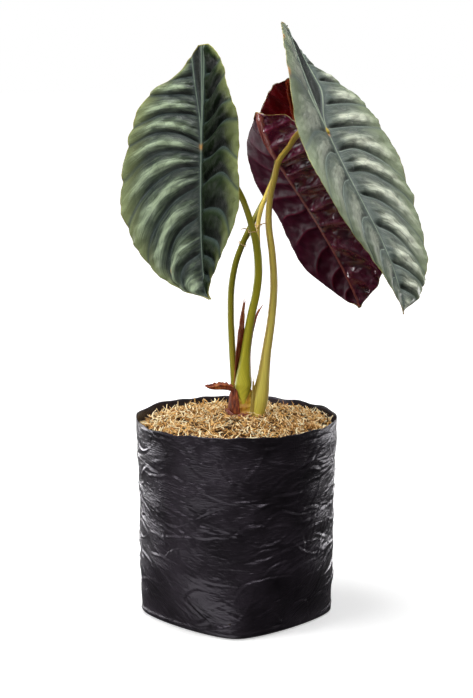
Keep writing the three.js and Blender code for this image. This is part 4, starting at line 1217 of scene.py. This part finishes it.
class BagSettings(bpy.types.PropertyGroup):
    """Film grow bag."""

    film: hue("Film", "#131013")
    bloom: hue("Stretched film", "#2c262d")
    sheen: hue("Sheen", "#f8eeff")
    crease_depth: length_of("Crease depth", "Height of the sharpest creases", 0.5)
    crease_count: bpy.props.IntProperty(name="Creases", description="How many creases", default=620)
    rim_wave: length_of("Rim wave", "How far the rim rises and falls", 0.8)


class MulchSettings(bpy.types.PropertyGroup):
    """Shredded coconut fibre."""

    dark: hue("Dark strands", "#180c04")
    middle: hue("Brown strands", "#9c672c")
    straw: hue("Straw strands", "#e6b468")
    pale: hue("Pale strands", "#fff2c8")
    count: bpy.props.IntProperty(name="Strands", description="Strands in a layer", default=1150)


def palette(name, about, **fields):
    """A property group. A hex code becomes a colour, and a description with a number becomes a plain
    number; each is labelled by its own name."""
    made = {}
    for key, value in fields.items():
        label = key.replace("_", " ").capitalize()
        made[key] = hue(label, value) if isinstance(value, str) else amount(label, *value)
    return type(name, (bpy.types.PropertyGroup,), {"__annotations__": made, "__doc__": about})


def blade_look(name, about, margin_share, vein_share, channel_depth, halves, **colours):
    """The look of a blade's upper side. trough, middle and crest are the foot, flank and top of its
    cushions, slate lies along the veins, deep in the creases, and shadow over the shaded half."""
    return palette(
        name, about, **colours,
        margin_share=("How much of the margin's colour shows", margin_share),
        vein_share=("How much of the side veins' colour shows", vein_share),
        channel_depth=("How dark the channel between the basal veins is", channel_depth),
        left_half=("How dark the half on the left is", halves[0]),
        right_half=("How dark the half on the right is", halves[1]),
    )


LeftBlade = blade_look(
    "LeftBlade", "Upper side of the left blade.", 0.8, 0.4, 0.8, (0.0, 0.93), trough="#252d27",
    middle="#5a6753", crest="#9aaa8b", slate="#36413f", deep="#040804", shadow="#17220f",
    margin="#8b955f", vein="#54605f", rib="#71806f", hem="#a09a55", spot="#b98a4a",
)
RightBlade = blade_look(
    "RightBlade", "Upper side of the right blade.", 0.65, 0.75, 0.9, (0.45, 0.0), trough="#4a524a",
    middle="#858d7d", crest="#ced3be", slate="#56625e", deep="#090f0b", shadow="#38443d",
    margin="#8f9c76", vein="#a3b0a2", rib="#97a48c", hem="#b3a860", spot="#c28a52",
)
SHADED = "How dark the half that hangs in the shade is"
UnderLook = palette(
    "UnderLook", "Underside of the blades.", deep="#2c0817", plum="#88204c", panel="#5a2034",
    vein="#8c344c", rib="#a45a52", hem="#9a8248", shaded_half=(SHADED, 0.8),
)
BackLook = palette(
    "BackLook", "Underside of the back blade, redder as light comes through it.", deep="#4c0209",
    plum="#860914", panel="#56060a", vein="#6a2020", rib="#a84426", hem="#7d6a38",
    shaded_half=(SHADED, 0.3),
)
GreenPetiole = palette(
    "GreenPetiole", "Green petioles.", foot="#dcd648", low="#d2cb3c", middle="#b0ab2e",
    top="#8f8620", flank="#566012",
)
ShadedPetiole = palette(
    "ShadedPetiole", "The petiole behind the others.", foot="#b8b23a", low="#aaa430",
    middle="#8c8a26", top="#7c761e", flank="#3c440e",
)
OlivePetiole = palette(
    "OlivePetiole", "Olive petioles.", foot="#e4df60", low="#fff07a", middle="#fbe670",
    top="#b09a30", flank="#8c641e",
)


class LeafSizes(bpy.types.PropertyGroup):
    """Blade sizes."""

    thickness: length_of("Thickness", "Thickness of the blade away from its veins", 0.6)
    keel: length_of("Midrib", "How far the midrib stands out below", 1.5)


class StageSettings(bpy.types.PropertyGroup):
    """Studio."""

    floor: hue("Table", "#e4e4e4")
    floor_glow: amount("Table glow", "Light that the table gives off", 0.45)
    room_light: amount("Room light", "Brightness of the room outside the softboxes", 0.17)
    top_power: power("Top light", "Power of the softbox overhead", 30)
    left_power: power("Left light", "Power of the softbox on the left in front", 9)
    front_power: power("Front light", "Power of the softbox above the camera", 9)
    right_power: power("Right light", "Power of the softbox on the right above", 5)
    back_power: power("Back lights", "Power of each low softbox behind the pot", 15)
    table_power: power("Table bounce", "Power of the light that the table throws back up", 4)


class PottedAlocasia(bpy.types.PropertyGroup):
    """All settings."""

    bag: bpy.props.PointerProperty(type=BagSettings)
    mulch: bpy.props.PointerProperty(type=MulchSettings)
    sizes: bpy.props.PointerProperty(type=LeafSizes)
    left: bpy.props.PointerProperty(type=LeftBlade)
    right: bpy.props.PointerProperty(type=RightBlade)
    under: bpy.props.PointerProperty(type=UnderLook)
    back: bpy.props.PointerProperty(type=BackLook)
    green: bpy.props.PointerProperty(type=GreenPetiole)
    shaded: bpy.props.PointerProperty(type=ShadedPetiole)
    olive: bpy.props.PointerProperty(type=OlivePetiole)
    stage: bpy.props.PointerProperty(type=StageSettings)


# Operators


class ALOCASIA_OT_stage(bpy.types.Operator):
    """Camera, lights, room and table"""

    bl_idname = "alocasia.stage"
    bl_label = "Stage"

    def execute(self, context):
        stage = context.scene.alocasia.stage
        studio_world(stage)
        studio_table(stage)
        for name, (place, target, size, key, share) in LIGHTS.items():
            aimed(name, place, target, size, getattr(stage, key) * share)
        data = bpy.data.cameras.new("camera")
        camera = bpy.data.objects.new("camera", data)
        camera.location, tilt, data.lens, data.sensor_width = CAMERA
        camera.rotation_euler = (math.radians(tilt), 0, 0)
        context.scene.collection.objects.link(camera)
        context.scene.camera = camera
        context.scene.view_settings.view_transform = "Standard"
        return {"FINISHED"}


class ALOCASIA_OT_grow_bag(bpy.types.Operator):
    """The film grow bag and the potting mix in it"""

    bl_idname = "alocasia.grow_bag"
    bl_label = "Grow bag"

    def execute(self, context):
        bag = context.scene.alocasia.bag
        grow_bag("film_bag", film_material(bag), bag)
        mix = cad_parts["potting_mix"]
        mix.data.materials.clear()
        mix.data.materials.append(peat_material())
        return {"FINISHED"}


class ALOCASIA_OT_mulch(bpy.types.Operator):
    """The mulch bed and three layers of loose strands"""

    bl_idname = "alocasia.mulch"
    bl_label = "Mulch"

    def execute(self, context):
        mulch = context.scene.alocasia.mulch
        material = fibre_material(mulch)
        mulch_bed("mulch_bed", material)
        for name, (share, *shape) in LAYERS.items():
            mulch_strands(name, material, "fibre", int(mulch.count * share), *shape)
        return {"FINISHED"}


class ALOCASIA_OT_leaves(bpy.types.Operator):
    """The four blades"""

    bl_idname = "alocasia.leaves"
    bl_label = "Leaves"

    def execute(self, context):
        settings = context.scene.alocasia
        wet = blade_under_material("leaf_underside_wet", settings.under, 1.5, 0.2, 0.7)
        # a copy of the underside with less reflection, for the half that hangs in the shade: painted
        # shade
        shaded_underside = blade_under_material("leaf_underside_shaded_half", settings.under, 1.1, 0.45)
        red = blade_under_material("leaf_underside_red", settings.back, 1.38, 0.2)
        waxy = blade_upper_material("leaf_skin_slate", settings.left, 1.36)
        # a copy of the slate skin with less reflection, for the half that faces away from the light:
        # painted shade
        shaded = blade_upper_material("leaf_skin_shaded_half", settings.left, 1.1)
        silver = blade_upper_material("leaf_skin_silver", settings.right, 1.36)
        blade("blade_left", "left", [waxy, shaded, wet, shaded_underside], settings.sizes)
        blade("blade_right", "right", [silver, silver, wet, shaded_underside], settings.sizes)
        blade("blade_rear", "rear", [waxy, shaded, wet, shaded_underside], settings.sizes)
        blade("blade_back", "back", [waxy, shaded, red, red], settings.sizes)
        return {"FINISHED"}


class ALOCASIA_OT_petioles(bpy.types.Operator):
    """The four petioles"""

    bl_idname = "alocasia.petioles"
    bl_label = "Petioles"

    def execute(self, context):
        settings = context.scene.alocasia
        green = petiole_material("petiole_skin_green", settings.green)
        shaded = petiole_material("petiole_skin_shaded", settings.shaded)
        olive = petiole_material("petiole_skin_olive", settings.olive)
        petiole("stalk_left", "left", green, "green_stem")
        petiole("stalk_rear", "rear", shaded, "green_stem", (0.8, 1.8))
        petiole("stalk_right", "right", olive, "bronze_stem", (1.5, 1.3))
        petiole("stalk_back", "back", olive, "bronze_stem")
        return {"FINISHED"}


class ALOCASIA_OT_crown(bpy.types.Operator):
    """The crown stem, its scales and sheaths, and the fibre ends at the crossing"""

    bl_idname = "alocasia.crown"
    bl_label = "Crown"

    def execute(self, context):
        bark = husk_material("crown_bark", "#9a4212", "#d0a232", "#e6da58", 90.0, 0.5)
        young = husk_material("sheath_young", "#a88a3a", "#c6b25c", "#e2cf98", 60.0, 0.5)
        rosy = husk_material("scale_leaf_skin", "#7c3f32", "#a8695a", "#cc9480", 120.0, 0.5)
        decayed = husk_material("decayed_sheath", "#340f06", "#762f12", "#b05e2a", 420.0, 0.8)
        paper = husk_material("papery_sheath", "#5c1a0a", "#98441e", "#d28a42", 200.0, 0.65)
        straw = husk_material("raffia_straw", "#b98a4c", "#dbb679", "#f0dcae", 500.0, 0.7)
        crown_stem("crown_stem", bark)
        rng = np.random.default_rng(61)
        skins = {"rosy": rosy, "decayed": decayed, "young": young}
        for name, (skin, *shape) in SCALES.items():
            scale_leaf(name, skins[skin], "husk", rng, *shape)
        front_sheath("front_sheath", paper)
        dry_sheath("dry_flag", paper)
        raffia("raffia_ends", straw)
        return {"FINISHED"}


class ALOCASIA_PT_panel(bpy.types.Panel):
    """Buttons for each piece"""

    bl_label = "Potted alocasia"
    bl_idname = "ALOCASIA_PT_panel"
    bl_space_type = "VIEW_3D"
    bl_region_type = "UI"
    bl_category = "Alocasia"

    def draw(self, context):
        for operator in OPERATORS:
            self.layout.operator(operator.bl_idname)


OPERATORS = (
    ALOCASIA_OT_stage,
    ALOCASIA_OT_grow_bag,
    ALOCASIA_OT_mulch,
    ALOCASIA_OT_leaves,
    ALOCASIA_OT_petioles,
    ALOCASIA_OT_crown,
)
GROUPS = (
    BagSettings, MulchSettings, LeafSizes, LeftBlade, RightBlade, UnderLook, BackLook, GreenPetiole,
    ShadedPetiole, OlivePetiole, StageSettings, PottedAlocasia,
)


def register():
    for cls in (*GROUPS, *OPERATORS, ALOCASIA_PT_panel):
        bpy.utils.register_class(cls)
    bpy.types.Scene.alocasia = bpy.props.PointerProperty(type=PottedAlocasia)


def unregister():
    del bpy.types.Scene.alocasia
    for cls in reversed((*GROUPS, *OPERATORS, ALOCASIA_PT_panel)):
        bpy.utils.unregister_class(cls)


def main():
    register()
    for operator in OPERATORS:
        group, name = operator.bl_idname.split(".")
        getattr(getattr(bpy.ops, group), name)()


if __name__ == "__main__":
    main()
